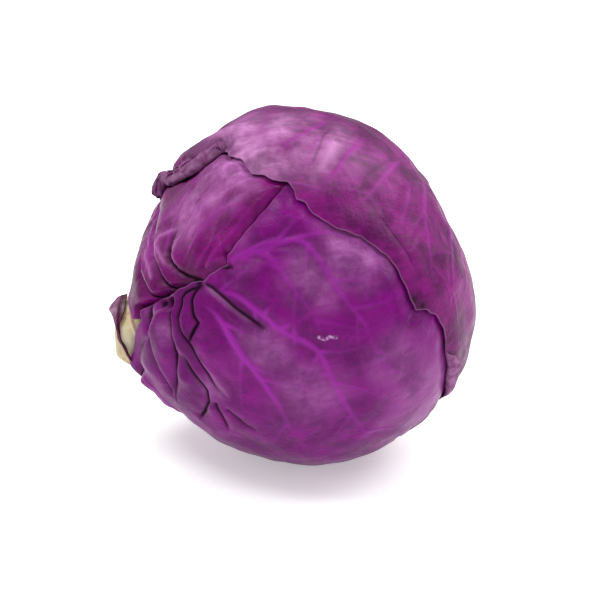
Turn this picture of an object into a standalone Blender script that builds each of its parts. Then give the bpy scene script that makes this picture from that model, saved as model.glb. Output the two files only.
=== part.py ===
"""Head of red cabbage, lying on its side with the cut stem to the left.

The head is described from its front, the side that a viewer sees who looks down on it by 20 degrees:
x to the right, u up, w out of the head towards the viewer. Each leaf is a flat sheet of its own that is
wrapped round the head in its own layer, so the leaves lie over each other and never cross.
"""
import math
from dataclasses import dataclass, field

import bmesh
import bpy
import numpy as np
from mathutils import Matrix

MM = 0.001

# Head: half widths in mm round the outline as the front shows it, from the right, counter-clockwise
OUTLINE_MM = (74.5, 69.8, 71.8, 76.0, 79.2, 81.2, 75.6, 69.8, 72.6, 78.0, 75.6, 78.8, 80.9, 80.4, 80.0, 78.8)
ROUND_RADIUS_MM = 78.0        # radius where the head faces the viewer, and at the back
CENTRE_HEIGHT_MM = 79.0       # the head's centre over the surface; it flattens where it lies
LOOK_DOWN = math.radians(20)  # how far the front is turned up

# Leaves
LEAF_THICKNESS_MM = 1.2
LAYER_PITCH_MM = 2.2          # from one leaf's outer face to the next one's
TOUCH_GAP_MM = 0.3            # air between pieces that touch
RISE_DEG = (1.2, 8.0)         # past a covering rim, a leaf rises into the free layer over these angles
RELIEF_DEG = (1.8, 8.0)       # and its own relief comes in over these
MARGIN_MM = 14.0              # the margin of a leaf has rows of points of its own
MARGIN_ROWS = 0.32            # their share of all rows
PRESSED_SHARE = 0.5           # how much of its relief a leaf loses where its rim lies on the next leaf
PRESSED_MM = 5.0
RIB_WIDTH_MM = 3.0
CREASE_WIDTH_MM = 2.6
PLEAT_FADE_DEG = (28.0, 66.0)  # pleats stand highest at the stem and are gone at the second angle
PLEAT_COUNT = 13
PLEAT_SEED = 7

# Stem, in mm along its own axis from the head's centre and out from that axis
STEM_AXIS = (-0.973, -0.215, -0.078)
STEM_ROOT_MM = 56.0
STEM_CUT_MM = 89.0
STEM_SLANT_MM = 3.5           # the knife went through aslant, so the lower side of the stump is longer
STEM_ROOT_RADIUS_MM = 13.5
STEM_RADIUS_MM = 16.4
STEM_DROP_MM = 2.8            # its end sits this much lower than its root
STEM_SIDES = 36

# Base of a lost leaf, every equal step round the stump from below to above
STUB_TURNS_DEG = (-62.0, 60.0)
STUB_HEIGHTS_MM = (85.0, 86.2, 87.4, 87.8, 87.0, 83.8)
STUB_WIDTHS_MM = (1.8, 2.2, 2.6, 3.4, 8.0, 4.0)
STUB_FLARE_MM = (0.0, 0.0, 0.2, 1.4, 2.8, 0.6)
STUB_THICKNESS_MM = 1.5
STUB_CELLS = (24, 4)

INNER_HEAD_DETAIL = 3         # subdivisions of the ball that the inner head starts from


def unit(vectors):
    """The same vectors with length 1."""
    vectors = np.asarray(vectors, float)
    return vectors / np.linalg.norm(vectors, axis=-1, keepdims=True)


def around(values, degrees):
    """A smooth closed curve through evenly spaced values, read at angles in degrees."""
    values = np.asarray(values, float)
    place = (np.asarray(degrees) % 360.0) / 360.0 * len(values)
    step = np.floor(place).astype(int)
    t = place - step
    a, b, c, d = (values[(step + offset) % len(values)] for offset in (-1, 0, 1, 2))
    return b + 0.5 * t * (c - a + t * (2 * a - 5 * b + 4 * c - d + t * (3 * (b - c) + d - a)))


def smooth_step(low, high, values):
    """0 below low, 1 above high, and an even curve between them."""
    t = np.clip((np.asarray(values, float) - low) / (high - low), 0.0, 1.0)
    return t * t * (3.0 - 2.0 * t)


STEM = unit(STEM_AXIS)
DEGREE_MM = math.radians(1.0) * ROUND_RADIUS_MM
RIGHT = np.array((1.0, 0.0, 0.0))
UP = np.array((0.0, math.sin(LOOK_DOWN), math.cos(LOOK_DOWN)))
OUT = np.array((0.0, -math.cos(LOOK_DOWN), math.sin(LOOK_DOWN)))
FRONT_TO_WORLD = np.stack((RIGHT, UP, OUT))


def head_radius(ways):
    """Radius of the bare head in mm, for unit directions given from the front."""
    angle = np.degrees(np.arctan2(ways[:, 1], ways[:, 0]))
    rim = ways[:, 0] ** 2 + ways[:, 1] ** 2
    return ROUND_RADIUS_MM + (around(OUTLINE_MM, angle) - ROUND_RADIUS_MM) * rim


def seen(*points_mm):
    """Directions of points on the front, given in mm to the right of and above the head's centre."""
    points = np.array(points_mm, float)
    radius = around(OUTLINE_MM, np.degrees(np.arctan2(points[:, 1], points[:, 0])))
    share = np.minimum(np.hypot(points[:, 0], points[:, 1]) / radius, 0.999)
    flat = unit(points) * share[:, None]
    return np.column_stack((flat, np.sqrt(1.0 - share ** 2)))


def distance_mm(ways, line):
    """Distance in mm to a line on the head, how far along it that is, and on which side (-1 or 1)."""
    starts, spans = line[:-1], line[1:] - line[:-1]
    t = ((ways[:, None, :] - starts) * spans).sum(2) / (spans * spans).sum(1)
    t = np.clip(t, 0.0, 1.0)
    offsets = ways[:, None, :] - starts - t[:, :, None] * spans
    gaps = np.linalg.norm(offsets, axis=2)
    best = gaps.argmin(1)
    rows = np.arange(len(ways))
    side = np.sign((np.cross(spans[best], offsets[rows, best]) * ways).sum(1))
    return gaps[rows, best] * ROUND_RADIUS_MM, (best + t[rows, best]) / len(spans), side


def window(turn, turns):
    """1 between the middle two of four angles in degrees, 0 outside the outer two."""
    middle = 0.5 * (turns[1] + turns[2])
    turn = middle + (turn - middle + 180.0) % 360.0 - 180.0
    return smooth_step(turns[0], turns[1], turn) * (1.0 - smooth_step(turns[2], turns[3], turn))


@dataclass
class Roll:
    """A margin that is rolled outwards, between angles round the leaf's middle."""
    turns: tuple
    radius_mm: float
    length_mm: float


@dataclass
class Leaf:
    """One leaf: where its middle lies, how far it reaches in degrees round that middle, and its relief."""
    name: str
    middle: tuple
    reach: tuple
    layer: int
    cells: int
    colour: tuple
    ribs: list = field(default_factory=list)
    creases: list = field(default_factory=list)
    steps: list = field(default_factory=list)
    lifts: list = field(default_factory=list)
    swell_mm: float = 1.4
    pleats_mm: float = 4.8
    wave_deg: float = 0.7
    relief_from_deg: tuple = RELIEF_DEG
    crowded: tuple = (0.0, 0.0, 0.0, 0.0)
    rim_seen: tuple = ()
    rolls: list = field(default_factory=list)

    def __post_init__(self):
        self.centre = unit(self.middle)
        self.toward_stem = unit(STEM - (STEM @ self.centre) * self.centre)
        self.sideways = np.cross(self.centre, self.toward_stem)
        self.traced = None
        if self.rim_seen:
            turn, away = self.polar(seen(*self.rim_seen))
            turn = np.degrees(np.unwrap(np.radians(turn)))
            order = np.argsort(turn)
            self.traced = (turn[order], away[order])

    def polar(self, ways):
        """Angle round the leaf's middle, and angle away from it, of directions on the head."""
        turn = np.degrees(np.arctan2(ways @ self.sideways, ways @ self.toward_stem))
        return turn, np.degrees(np.arccos(np.clip(ways @ self.centre, -1.0, 1.0)))

    def rim_deg(self, turn):
        """How far the leaf reaches in a direction; waved, and torn in steps where the front shows it."""
        wave = np.sin(np.radians(7 * turn + 40 * self.layer)) + 0.6 * np.sin(np.radians(17 * turn))
        rim = around(self.reach, turn) + self.wave_deg * wave
        if self.traced is None:
            return rim
        turns, aways = self.traced
        turn = turns[0] - 20.0 + (turn - turns[0] + 20.0) % 360.0
        joined = smooth_step(turns[0] - 4.0, turns[0], turn) * (1.0 - smooth_step(turns[-1], turns[-1] + 4.0, turn))
        return rim + (np.interp(turn, turns, aways) - rim) * joined

    def margin(self, turn):
        """Angles where the sheet leaves the head to roll outwards and where it ends, and the roll's radius."""
        start = self.rim_deg(turn)
        end = start.copy()
        radius = np.ones(len(start))
        for roll in self.rolls:
            share = window(turn, roll.turns)
            start = start - share * roll.radius_mm / DEGREE_MM
            end = end + share * (roll.length_mm - roll.radius_mm) / DEGREE_MM
            radius = np.where(share > 0.0, roll.radius_mm, radius)
        return start, end, radius

    def direction(self, turn, reach):
        """Direction on the head at an angle round the leaf's middle and an angle away from it."""
        turn, reach = np.radians(turn), np.radians(reach)
        side = np.outer(np.cos(turn), self.toward_stem) + np.outer(np.sin(turn), self.sideways)
        return np.cos(reach)[:, None] * self.centre + np.sin(reach)[:, None] * side

    def inside_deg(self, ways):
        """How far inside the leaf's rim each direction lies, and its angle round the middle."""
        turn, away = self.polar(ways)
        return self.rim_deg(turn) - away, turn

    def path(self, *stops):
        """A rib over the leaf through stops given as (angle round the middle, share of the reach)."""
        turns, shares = np.array(stops, float).T
        return self.direction(turns, shares * around(self.reach, turns))


# The leaves from the inside out, with reaches every 15 degrees that start towards the stem
LEAVES = [
    Leaf("leaf_back", (0.15, -0.30, -0.94),
         (76.5, 82, 85, 88, 88, 86, 84, 82, 80, 78, 77, 78, 80, 82, 84, 84, 82, 80, 80, 82, 84, 84, 83, 80),
         layer=3, cells=18, colour=(0.16, 0.022, 0.14)),
    Leaf("leaf_left", (-0.75, 0.5, 0.3),
         (38, 41, 46, 49, 50, 51, 52, 54, 56, 58, 60, 61, 62, 62, 62, 62, 62, 61, 59, 56, 52, 46, 41, 39),
         layer=2, cells=26, colour=(0.20, 0.024, 0.15), swell_mm=2.6, relief_from_deg=(0.6, 4.0)),
    Leaf("leaf_front", (0.0, -0.64, 0.77),
         (71, 76, 88, 100, 103, 101, 88, 66, 49, 66, 71, 73, 75, 77, 78, 80, 80, 78, 69, 60, 54, 54, 61, 67),
         layer=1, cells=38, colour=(0.19, 0.024, 0.17), crowded=(0.35, 0.7, 0.15, -0.2),
         rim_seen=((-9, 47), (-17, 37), (-24, 29), (-31, 21), (-35, 16), (-37, 13), (-37, 9), (-40, 8),
                   (-43, 6), (-49, 1))),
    Leaf("leaf_top", (0.45, 0.80, -0.25),
         (110, 95, 69, 67, 74, 79, 81, 84, 80, 82, 89, 92, 97, 100, 100, 97, 92, 88, 86, 88, 92, 98, 105, 110),
         layer=0, cells=34, colour=(0.22, 0.045, 0.19),
         rim_seen=((-71, 43), (-62, 48), (-50, 55), (-41, 61), (-37, 63), (-36, 59), (-31, 58), (-27, 53),
                   (-26, 51), (-20, 50), (-13, 47), (-9, 47), (-6, 43), (-5, 39), (-1, 37), (3, 32), (11, 27),
                   (18, 24), (25, 22), (31, 17), (36, 14), (41, 8), (44, 2), (46, -3), (50, -12), (55, -12),
                   (59, -14), (63, -21), (64, -30), (65, -37), (64, -46), (64, -53))),
]
BY_NAME = {leaf.name: leaf for leaf in LEAVES}
INNER_HEAD_LAYER = 4

# Ribs as (line, height in mm at its start); they thin out to a third of that at their end
BY_NAME["leaf_top"].ribs = [
    (BY_NAME["leaf_top"].path((0, 0.96), (6, 0.6), (350, 0.25), (180, 0.1), (170, 0.5), (166, 0.85)), 2.4),
    (seen((24, 65), (18, 56), (14, 49), (4, 45)), 1.2),
    (seen((5, 76), (0, 71), (-6, 67), (-13, 62), (-19, 56)), 1.2),
    (seen((9, 71), (6, 64), (1, 56)), 0.9),
    (seen((39, 56), (33, 52), (28, 42), (22, 38), (13, 36)), 1.2),
    (seen((54, 49), (55, 27), (52, -2)), 1.4),
    (seen((62, 40), (66, 18), (64, -14)), 1.0),
] + [(BY_NAME["leaf_top"].path((350, 0.25 + 0.1 * n), (turn, 0.5), (turn, 0.88)), 1.2)
     for n, turn in enumerate((225, 252, 280, 305, 325))]
BY_NAME["leaf_front"].ribs = [
    (seen((-48, 2), (-33, -3), (-26, -11), (-13, -21), (0, -27), (6, -31), (14, -49), (29, -71)), 1.8),
    (seen((-44, 5), (-21, 17), (-11, 5), (-7, -2), (0, -10), (5, -18), (7, -24)), 1.2),
    (seen((-42, 8), (-2, 21), (5, 12), (12, 0), (20, -11), (26, -17), (30, -26), (36, -38)), 1.2),
    (seen((-49, -6), (-43, -13), (-37, -20), (-33, -28), (-26, -38), (-16, -48), (-8, -66)), 1.6),
    (seen((-30, 12), (10, 25), (32, 16), (36, 2), (38, -7)), 1.0),
] + [(BY_NAME["leaf_front"].path((5, 0.95), (turn - 10, 0.7), (turn, 0.95)), 1.4) for turn in (30, 52, 74)]
BY_NAME["leaf_left"].ribs = [
    (seen((-74, 2), (-71, 24), (-65, 46), (-52, 60)), 1.6),
    (seen((-68, 8), (-62, 26), (-52, 44), (-44, 56)), 1.2),
    (seen((-58, 10), (-48, 24), (-38, 38)), 1.2),
] + [(BY_NAME["leaf_left"].path((0, 0.95), (turn, 0.5), (turn, 0.9)), 1.3) for turn in (200, 235, 270)]
BY_NAME["leaf_back"].ribs = [
    (BY_NAME["leaf_back"].path((0, 0.97), (4, 0.5), (180, 0.1), (178, 0.9)), 2.4),
] + [(BY_NAME["leaf_back"].path((2, share), (turn, 0.6), (turn, 0.92)), 1.4)
     for share, turn in ((0.8, 40), (0.5, 75), (0.2, 115), (0.1, 150), (0.8, 320), (0.5, 285), (0.2, 245),
                         (0.1, 210))]

# Creases as (line, share of the relief that they take away)
BY_NAME["leaf_front"].creases = [
    (seen((-53, -1), (-59, -6), (-61, -12), (-60, -17), (-57, -24), (-54, -29), (-50, -37), (-43, -47),
          (-38, -52)), 1.0),
    (seen((-53, -3), (-53, -11), (-52, -17), (-54, -22), (-55, -26), (-53, -32), (-47, -42), (-42, -48)), 0.9),
    (seen((-64, -13), (-63, -21), (-61, -31), (-61, -47)), 1.0),
]
BY_NAME["leaf_left"].creases = [
    (seen((-66, 16), (-63, 9), (-57, 5), (-52, 2), (-44, 2)), 1.0),
    (seen((-72, 3), (-70, 2), (-67, -2), (-63, -2)), 0.9),
]

# One-sided steps, where a fold lies over the blade beside it, as (line, drop in mm, width in mm)
BY_NAME["leaf_front"].steps = [
    (seen((-50, 0), (-45, -4), (-36, -10), (-26, -18), (-20, -24), (-13, -31)), 3.6, 5.0),
    (seen((-60, -47), (-65, -42), (-68, -37), (-71, -31), (-74, -24)), 1.6, 5.0),
    (seen((-65, -53), (-71, -46), (-76, -38), (-78, -30)), 1.4, 5.0),
]

# Margins that are rolled outwards, and rims that stand off as (angles as in a roll, height in mm, width in degrees)
BY_NAME["leaf_top"].rolls = [Roll((17.0, 22.0, 49.5, 53.5), 2.2, 11.0), Roll((180.0, 186.0, 198.0, 206.0), 1.8, 4.6)]
BY_NAME["leaf_top"].lifts = [((13.0, 19.0, 25.0, 33.0), 1.6, 9.0)]

def pleat_creases():
    """Creases that fan out from the stem, uneven as on a grown head, on the sides away from the front."""
    random = np.random.default_rng(PLEAT_SEED)
    across = unit(np.cross(STEM, OUT @ FRONT_TO_WORLD.T))
    upright = np.cross(STEM, across)
    lines = []
    for n in range(PLEAT_COUNT):
        turn = math.radians(360.0 * (n + random.uniform(-0.3, 0.3)) / PLEAT_COUNT)
        bend = random.uniform(-0.35, 0.35)
        reach = random.uniform(38.0, 58.0)
        line = []
        for away in np.radians(np.linspace(15.0, reach, 6)):
            side = turn + bend * away
            line.append(math.cos(away) * STEM
                        + math.sin(away) * (math.cos(side) * across + math.sin(side) * upright))
        if line[3][2] < 0.15:
            lines.append((np.array(line), 0.9))
    return lines


HIDDEN_CREASES = pleat_creases()


def relief_mm(leaf, ways):
    """How far the leaf stands out of its layer: swollen blade, pleats, creases, steps, ribs, lifted rims."""
    from_stem = np.degrees(np.arccos(np.clip(ways @ STEM, -1.0, 1.0)))
    swell = leaf.swell_mm + leaf.pleats_mm * (1.0 - smooth_step(*PLEAT_FADE_DEG, from_stem))
    kept = np.ones(len(ways))
    for line, share in leaf.creases + HIDDEN_CREASES:
        away, along, _ = distance_mm(ways, line)
        fade = 1.0 - smooth_step(0.7, 1.0, along)
        kept = np.minimum(kept, 1.0 - share * fade * np.exp(-(away / CREASE_WIDTH_MM) ** 1.4))
    relief = swell * kept
    for line, drop, width in leaf.steps:
        away, along, side = distance_mm(ways, line)
        fade = smooth_step(0.0, 0.1, along) * (1.0 - smooth_step(0.8, 1.0, along))
        relief -= drop * fade * np.exp(-away / np.where(side > 0, width, 1.0))
    for line, height in leaf.ribs:
        away, along, _ = distance_mm(ways, line)
        relief += height * (1.0 - 0.67 * along) * kept * np.exp(-(away / RIB_WIDTH_MM) ** 2)
    inside, turn = leaf.inside_deg(ways)
    pressed = PRESSED_SHARE * smooth_step(18.0, 40.0, from_stem) * np.exp(-np.abs(inside) * DEGREE_MM / PRESSED_MM)
    relief = np.maximum(relief, 0.0) * (1.0 - pressed)
    for turns, height, width in leaf.lifts:
        relief += height * window(turn, turns) * (1.0 - smooth_step(0.0, width, inside))
    for cover in LEAVES:
        if cover.layer < leaf.layer:
            relief *= smooth_step(*leaf.relief_from_deg, -cover.inside_deg(ways)[0])
    return relief


def depth_mm(leaf, ways):
    """How deep a leaf lies: one layer under each leaf that covers it, and rising where none does."""
    depth = np.zeros(len(ways))
    for cover in LEAVES:
        if cover.layer < leaf.layer:
            covered = 1.0 - smooth_step(*RISE_DEG, -cover.inside_deg(ways)[0])
            depth = np.maximum(depth, covered * (depth_mm(cover, ways) + LAYER_PITCH_MM))
    return depth


def place_mm(ways, depth, relief):
    """World positions in mm of points this deep under the head's outside, flattened where it lies."""
    world_ways = ways @ FRONT_TO_WORLD
    radius = head_radius(ways) - depth + relief
    down = np.maximum(-world_ways[:, 2], 1e-6)
    flattened = (CENTRE_HEIGHT_MM - depth) / down
    radius = np.where(world_ways[:, 2] < 0.0, np.minimum(radius, flattened), radius)
    return world_ways * radius[:, None] + np.array((0.0, 0.0, CENTRE_HEIGHT_MM))


def leaf_points_mm(leaf, turn, share, into_blade):
    """Points of a leaf's sheet at angles round its middle, shares of its length and depths in the blade."""
    start, end, radius = leaf.margin(turn)
    margin = MARGIN_MM / DEGREE_MM
    inner = share / (1.0 - MARGIN_ROWS) * (end - margin)
    outer = end - margin * (1.0 - share) / MARGIN_ROWS
    away = np.where(share < 1.0 - MARGIN_ROWS, inner, outer)
    held = np.minimum(away, start)
    ways = leaf.direction(turn, held)
    points = place_mm(ways, depth_mm(leaf, ways) + into_blade, relief_mm(leaf, ways))
    past = (away - held) * DEGREE_MM
    bend = past / radius
    outwards = leaf.direction(turn, held + 90.0) @ FRONT_TO_WORLD
    along = (radius + into_blade) * np.sin(bend)
    off = (radius + into_blade) * (1.0 - np.cos(bend))
    return points + along[:, None] * outwards + off[:, None] * (ways @ FRONT_TO_WORLD)


def read_points(mesh):
    points = np.empty(len(mesh.vertices) * 3)
    mesh.vertices.foreach_get("co", points)
    return points.reshape(-1, 3)


def write_points(mesh, points):
    mesh.vertices.foreach_set("co", np.ascontiguousarray(points).ravel())
    mesh.update()


def new_material(name, colour, roughness):
    material = bpy.data.materials.new(name)
    material.use_nodes = True
    shader = material.node_tree.nodes["Principled BSDF"]
    shader.inputs["Base Color"].default_value = (*colour, 1.0)
    shader.inputs["Roughness"].default_value = roughness
    shader.inputs["Metallic"].default_value = 0.0
    material.diffuse_color = (*colour, 1.0)
    return material


def finish(piece, name, collection, material):
    """Names the active object, gives it its material and collection and shades it smooth."""
    piece.name = piece.data.name = name
    for other in piece.users_collection:
        other.objects.unlink(piece)
    collection.objects.link(piece)
    piece.data.materials.append(material)
    piece.data.shade_smooth()
    return piece


def split_into_triangles(mesh):
    shape = bmesh.new()
    shape.from_mesh(mesh)
    bmesh.ops.triangulate(shape, faces=shape.faces[:], quad_method="SHORT_EDGE")
    shape.to_mesh(mesh)
    shape.free()


def apply_modifier(piece, modifier):
    bpy.context.view_layer.objects.active = piece
    bpy.ops.object.modifier_apply(modifier=modifier.name)


def thick_sheet(cells, thickness):
    """A flat square sheet from -1 to 1, split alike on both faces, with its outer face up."""
    bpy.ops.mesh.primitive_grid_add(x_subdivisions=cells[0], y_subdivisions=cells[1], size=2.0)
    sheet = bpy.context.active_object
    split_into_triangles(sheet.data)
    shell = sheet.modifiers.new("thickness", "SOLIDIFY")
    shell.thickness = thickness
    shell.offset = -1.0
    apply_modifier(sheet, shell)
    split_into_triangles(sheet.data)
    return sheet


def crowd(values, strength, at):
    """Moves the rows of points between -1 and 1 closer together round one of them."""
    return values - strength / math.pi * (np.sin(math.pi * (values - at)) - math.sin(math.pi * at))


def build_leaf(leaf, collection):
    """Wraps a round sheet over the head: its middle at the leaf's middle, its rim at the leaf's reach."""
    sheet = thick_sheet((leaf.cells, leaf.cells), 1.0)
    x, y, z = read_points(sheet.data).T
    x = crowd(x, leaf.crowded[0], leaf.crowded[1])
    y = crowd(y, leaf.crowded[2], leaf.crowded[3])
    across, along = x * np.sqrt(1.0 - 0.5 * y * y), y * np.sqrt(1.0 - 0.5 * x * x)
    turn = np.degrees(np.arctan2(along, across))
    points = leaf_points_mm(leaf, turn, np.hypot(across, along), -z * LEAF_THICKNESS_MM)
    write_points(sheet.data, points * MM)
    return finish(sheet, leaf.name, collection, new_material(leaf.name, leaf.colour, 0.42))


def stem_matrix():
    """Turns +Z to the stem's axis, with +Y up and +X towards the viewer, about the head's centre."""
    axis = STEM @ FRONT_TO_WORLD
    viewer = unit(OUT - (OUT @ axis) * axis)
    turned = Matrix(np.column_stack((viewer, np.cross(axis, viewer), axis)).tolist()).to_4x4()
    return Matrix.Translation((0.0, 0.0, CENTRE_HEIGHT_MM * MM)) @ turned


def stem_radius_mm(height):
    """Radius of the stump along its axis: a plain root, then a neck with two leaf scars."""
    height = np.asarray(height, float)
    neck = STEM_ROOT_RADIUS_MM + (STEM_RADIUS_MM - STEM_ROOT_RADIUS_MM) * smooth_step(71.0, 77.0, height)
    scars = 0.7 * np.exp(-((height - 80.0) / 1.6) ** 2) + 0.5 * np.exp(-((height - 84.5) / 1.3) ** 2)
    return neck + scars


def stem_drop_mm(height):
    """How far the stump's middle has sunk at a height along its axis."""
    return STEM_DROP_MM * smooth_step(74.0, 84.0, height)


def turned_solid(name, profile_mm):
    """A solid turned about +Z from a profile in mm that runs down its outer side."""
    mesh = bpy.data.meshes.new(name)
    points = [(radius * MM, 0.0, height * MM) for radius, height in profile_mm]
    mesh.from_pydata(points, [(n, n + 1) for n in range(len(points) - 1)], [])
    solid = bpy.data.objects.new(name, mesh)
    bpy.context.scene.collection.objects.link(solid)
    screw = solid.modifiers.new("turn", "SCREW")
    screw.steps = screw.render_steps = STEM_SIDES
    screw.use_merge_vertices = True
    screw.merge_threshold = 0.00001
    apply_modifier(solid, screw)
    return solid


def build_stem(collection):
    """The cut stump: a plain root in the inner head, and a slightly oval neck that stands out of it."""
    heights = [86.0, 85.0, 83.5, 82.0, 80.0, 78.0, 75.5, 73.0, 71.0]
    side = [(float(stem_radius_mm(height)), height) for height in heights]
    top = [(share * STEM_RADIUS_MM, STEM_CUT_MM - drop) for share, drop in ((0, 0), (0.5, 0.3), (0.8, 1.2), (0.94, 2.3))]
    root = [(STEM_ROOT_RADIUS_MM, STEM_ROOT_MM), (0.0, STEM_ROOT_MM)]
    stem = turned_solid("stem", top + side + root)
    x, y, z = read_points(stem.data).T
    turn = np.arctan2(y, x)
    outside = smooth_step(72.0 * MM, 79.0 * MM, z)
    stretch = 1.0 + outside * (0.035 * np.cos(2 * turn + 0.5) + 0.02 * np.sin(3 * turn))
    slant = -STEM_SLANT_MM * smooth_step(78.0 * MM, 86.0 * MM, z) * y / STEM_RADIUS_MM
    drop = stem_drop_mm(z / MM) * MM
    write_points(stem.data, np.column_stack((x * stretch, y * stretch - drop, z + slant)))
    stem.matrix_world = stem_matrix()
    return finish(stem, "stem", collection, new_material("stem", (0.66, 0.58, 0.38), 0.6))


def build_leaf_stub(collection):
    """The purple base of an outer leaf that was cut off, wrapped slantwise round the stump."""
    stub = thick_sheet(STUB_CELLS, 1.0)
    u, v, z = read_points(stub.data).T
    along = 0.5 * (u + 1.0)
    turn = np.radians(STUB_TURNS_DEG[0] + along * (STUB_TURNS_DEG[1] - STUB_TURNS_DEG[0]))
    stops = np.linspace(0.0, 1.0, len(STUB_HEIGHTS_MM))
    height = np.interp(along, stops, STUB_HEIGHTS_MM)
    width = np.interp(along, stops, STUB_WIDTHS_MM)
    flare = np.interp(along, stops, STUB_FLARE_MM) * smooth_step(-0.6, 1.0, v)
    stand_off = STEM_RADIUS_MM * 1.06 + TOUCH_GAP_MM
    radius = stand_off + flare + (1.0 + z) * STUB_THICKNESS_MM * (1.0 - 0.4 * np.abs(v))
    height = height + 0.5 * width * v
    points = np.column_stack((radius * np.cos(turn), radius * np.sin(turn) - stem_drop_mm(height), height)) * MM
    write_points(stub.data, points)
    stub.matrix_world = stem_matrix()
    return finish(stub, "leaf_stub", collection, new_material("leaf_stub", (0.13, 0.012, 0.075), 0.4))


def build_inner_head(collection, cutters):
    """The tight ball of younger leaves inside, with a plain socket for the stem's root."""
    bpy.ops.mesh.primitive_ico_sphere_add(subdivisions=INNER_HEAD_DETAIL, radius=1.0)
    head = bpy.context.active_object
    ways = unit(read_points(head.data))
    depth = np.full(len(ways), INNER_HEAD_LAYER * LAYER_PITCH_MM)
    write_points(head.data, place_mm(ways, depth, np.zeros(len(ways))) * MM)
    profile = [(0.0, 95.0), (STEM_ROOT_RADIUS_MM + TOUCH_GAP_MM, 95.0),
               (STEM_ROOT_RADIUS_MM + TOUCH_GAP_MM, STEM_ROOT_MM - TOUCH_GAP_MM),
               (0.0, STEM_ROOT_MM - TOUCH_GAP_MM)]
    socket = turned_solid("socket", profile)
    socket.matrix_world = stem_matrix()
    finish(socket, "socket", cutters, new_material("socket", (0.5, 0.5, 0.5), 0.5))
    socket.hide_render = True
    socket.display_type = "WIRE"
    cut = head.modifiers.new("socket", "BOOLEAN")
    cut.operation = "DIFFERENCE"
    cut.solver = "EXACT"
    cut.object = socket
    return finish(head, "inner_head", collection, new_material("inner_head", (0.24, 0.05, 0.24), 0.42))


def new_collection(name):
    collection = bpy.data.collections.new(name)
    bpy.context.scene.collection.children.link(collection)
    return collection


def main():
    for old in list(bpy.data.objects):
        bpy.data.objects.remove(old, do_unlink=True)
    cabbage = new_collection("cabbage_head")
    cutters = new_collection("cutters")
    build_inner_head(cabbage, cutters)
    build_stem(cabbage)
    build_leaf_stub(cabbage)
    for leaf in LEAVES:
        build_leaf(leaf, cabbage)


main()
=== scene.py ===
# %% [markdown]
# # A head of red cabbage on its side
# A red cabbage head is a ball of waxy leaves that grew round each other from one stem. The outer leaves
# show how: each is a sheet that starts at the stem, is pressed into pleats beside it, and wraps over
# the head until its rim lies on the next leaf. The imported model already has every leaf in its layer.
# This script gives each one a finer sheet in the same place, with its ribs, folds and torn rim, and
# then the finish of the leaf: dark purple flesh, brighter veins, a pale bloom of wax with painted sheen,
# and painted shade in the folds.

# %% The imported model
import math

import bpy
import numpy as np
from mathutils import Matrix, Vector


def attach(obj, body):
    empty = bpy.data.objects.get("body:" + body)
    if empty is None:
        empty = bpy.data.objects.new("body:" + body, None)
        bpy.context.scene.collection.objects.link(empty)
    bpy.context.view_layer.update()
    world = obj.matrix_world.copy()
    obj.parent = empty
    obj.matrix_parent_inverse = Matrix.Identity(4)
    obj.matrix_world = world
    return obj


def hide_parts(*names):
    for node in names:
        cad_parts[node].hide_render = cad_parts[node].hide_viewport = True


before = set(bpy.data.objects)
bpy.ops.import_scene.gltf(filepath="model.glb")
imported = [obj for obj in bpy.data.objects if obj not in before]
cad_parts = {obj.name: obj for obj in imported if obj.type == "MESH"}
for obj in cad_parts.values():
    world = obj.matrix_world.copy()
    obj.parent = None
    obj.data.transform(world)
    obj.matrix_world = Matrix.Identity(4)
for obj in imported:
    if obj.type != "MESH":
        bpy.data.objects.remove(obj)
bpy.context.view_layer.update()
MM = 0.001
print("nodes:", sorted(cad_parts))

# %% [markdown]
# ## Camera, floor and light
# The photo looks down on the head by about 20 degrees. The camera could be placed by eye; here its own
# three axes are worked out once, and the head is described in the same axes (right, up and out towards
# the viewer), so a point seen in the photo can be set on the head in millimetres.

# %% The viewer's axes and the head's centre
LOOK_DOWN = math.radians(20)
CENTRE_HEIGHT_MM = 79.0
CAMERA_DISTANCE_MM = 1200.0
FRAME_WIDTH_MM = 274.2          # how much of the scene the 600 pixels of the photo take in at the head
AIM_MM = (-3.2, -6.9)           # the middle of the picture, right of and above the head's centre

RIGHT = np.array((1.0, 0.0, 0.0))
UP = np.array((0.0, math.sin(LOOK_DOWN), math.cos(LOOK_DOWN)))
OUT = np.array((0.0, -math.cos(LOOK_DOWN), math.sin(LOOK_DOWN)))
FRONT_TO_WORLD = np.stack((RIGHT, UP, OUT))
CENTRE = np.array((0.0, 0.0, CENTRE_HEIGHT_MM))

# %% Camera
def put(name, data):
    """Puts a mesh, a lamp or a camera into the scene as an object."""
    thing = bpy.data.objects.new(name, data)
    bpy.context.scene.collection.objects.link(thing)
    return thing


camera_data = bpy.data.cameras.new("camera")
camera_data.sensor_width = 36.0
camera_data.lens = camera_data.sensor_width * CAMERA_DISTANCE_MM / FRAME_WIDTH_MM
camera = put("camera", camera_data)
aim = CENTRE + AIM_MM[0] * RIGHT + AIM_MM[1] * UP
axes = Matrix(FRONT_TO_WORLD.T.tolist()).to_4x4()
camera.matrix_world = Matrix.Translation((aim + CAMERA_DISTANCE_MM * OUT) * MM) @ axes
bpy.context.scene.camera = camera
print("lens", round(camera_data.lens, 1), "mm")

# %% [markdown]
# Materials and node trees are both built in code. Each node could be made by lines of its own; here one
# small function adds any node with its settings, values and links. A table gives short names to the kinds
# that come often, with the sockets that their values go to, so a line reads like the step that it makes.

# %% Colours
def srgb(text):
    """A colour written as a hex text, turned linear for Blender."""
    parts = [int(text[n:n + 2], 16) / 255.0 for n in (1, 3, 5)]
    return tuple(p / 12.92 if p <= 0.04045 else ((p + 0.055) / 1.055) ** 2.4 for p in parts) + (1.0,)


print("purple flesh in linear light:", [round(part, 3) for part in srgb("#760670")[:3]])

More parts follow.
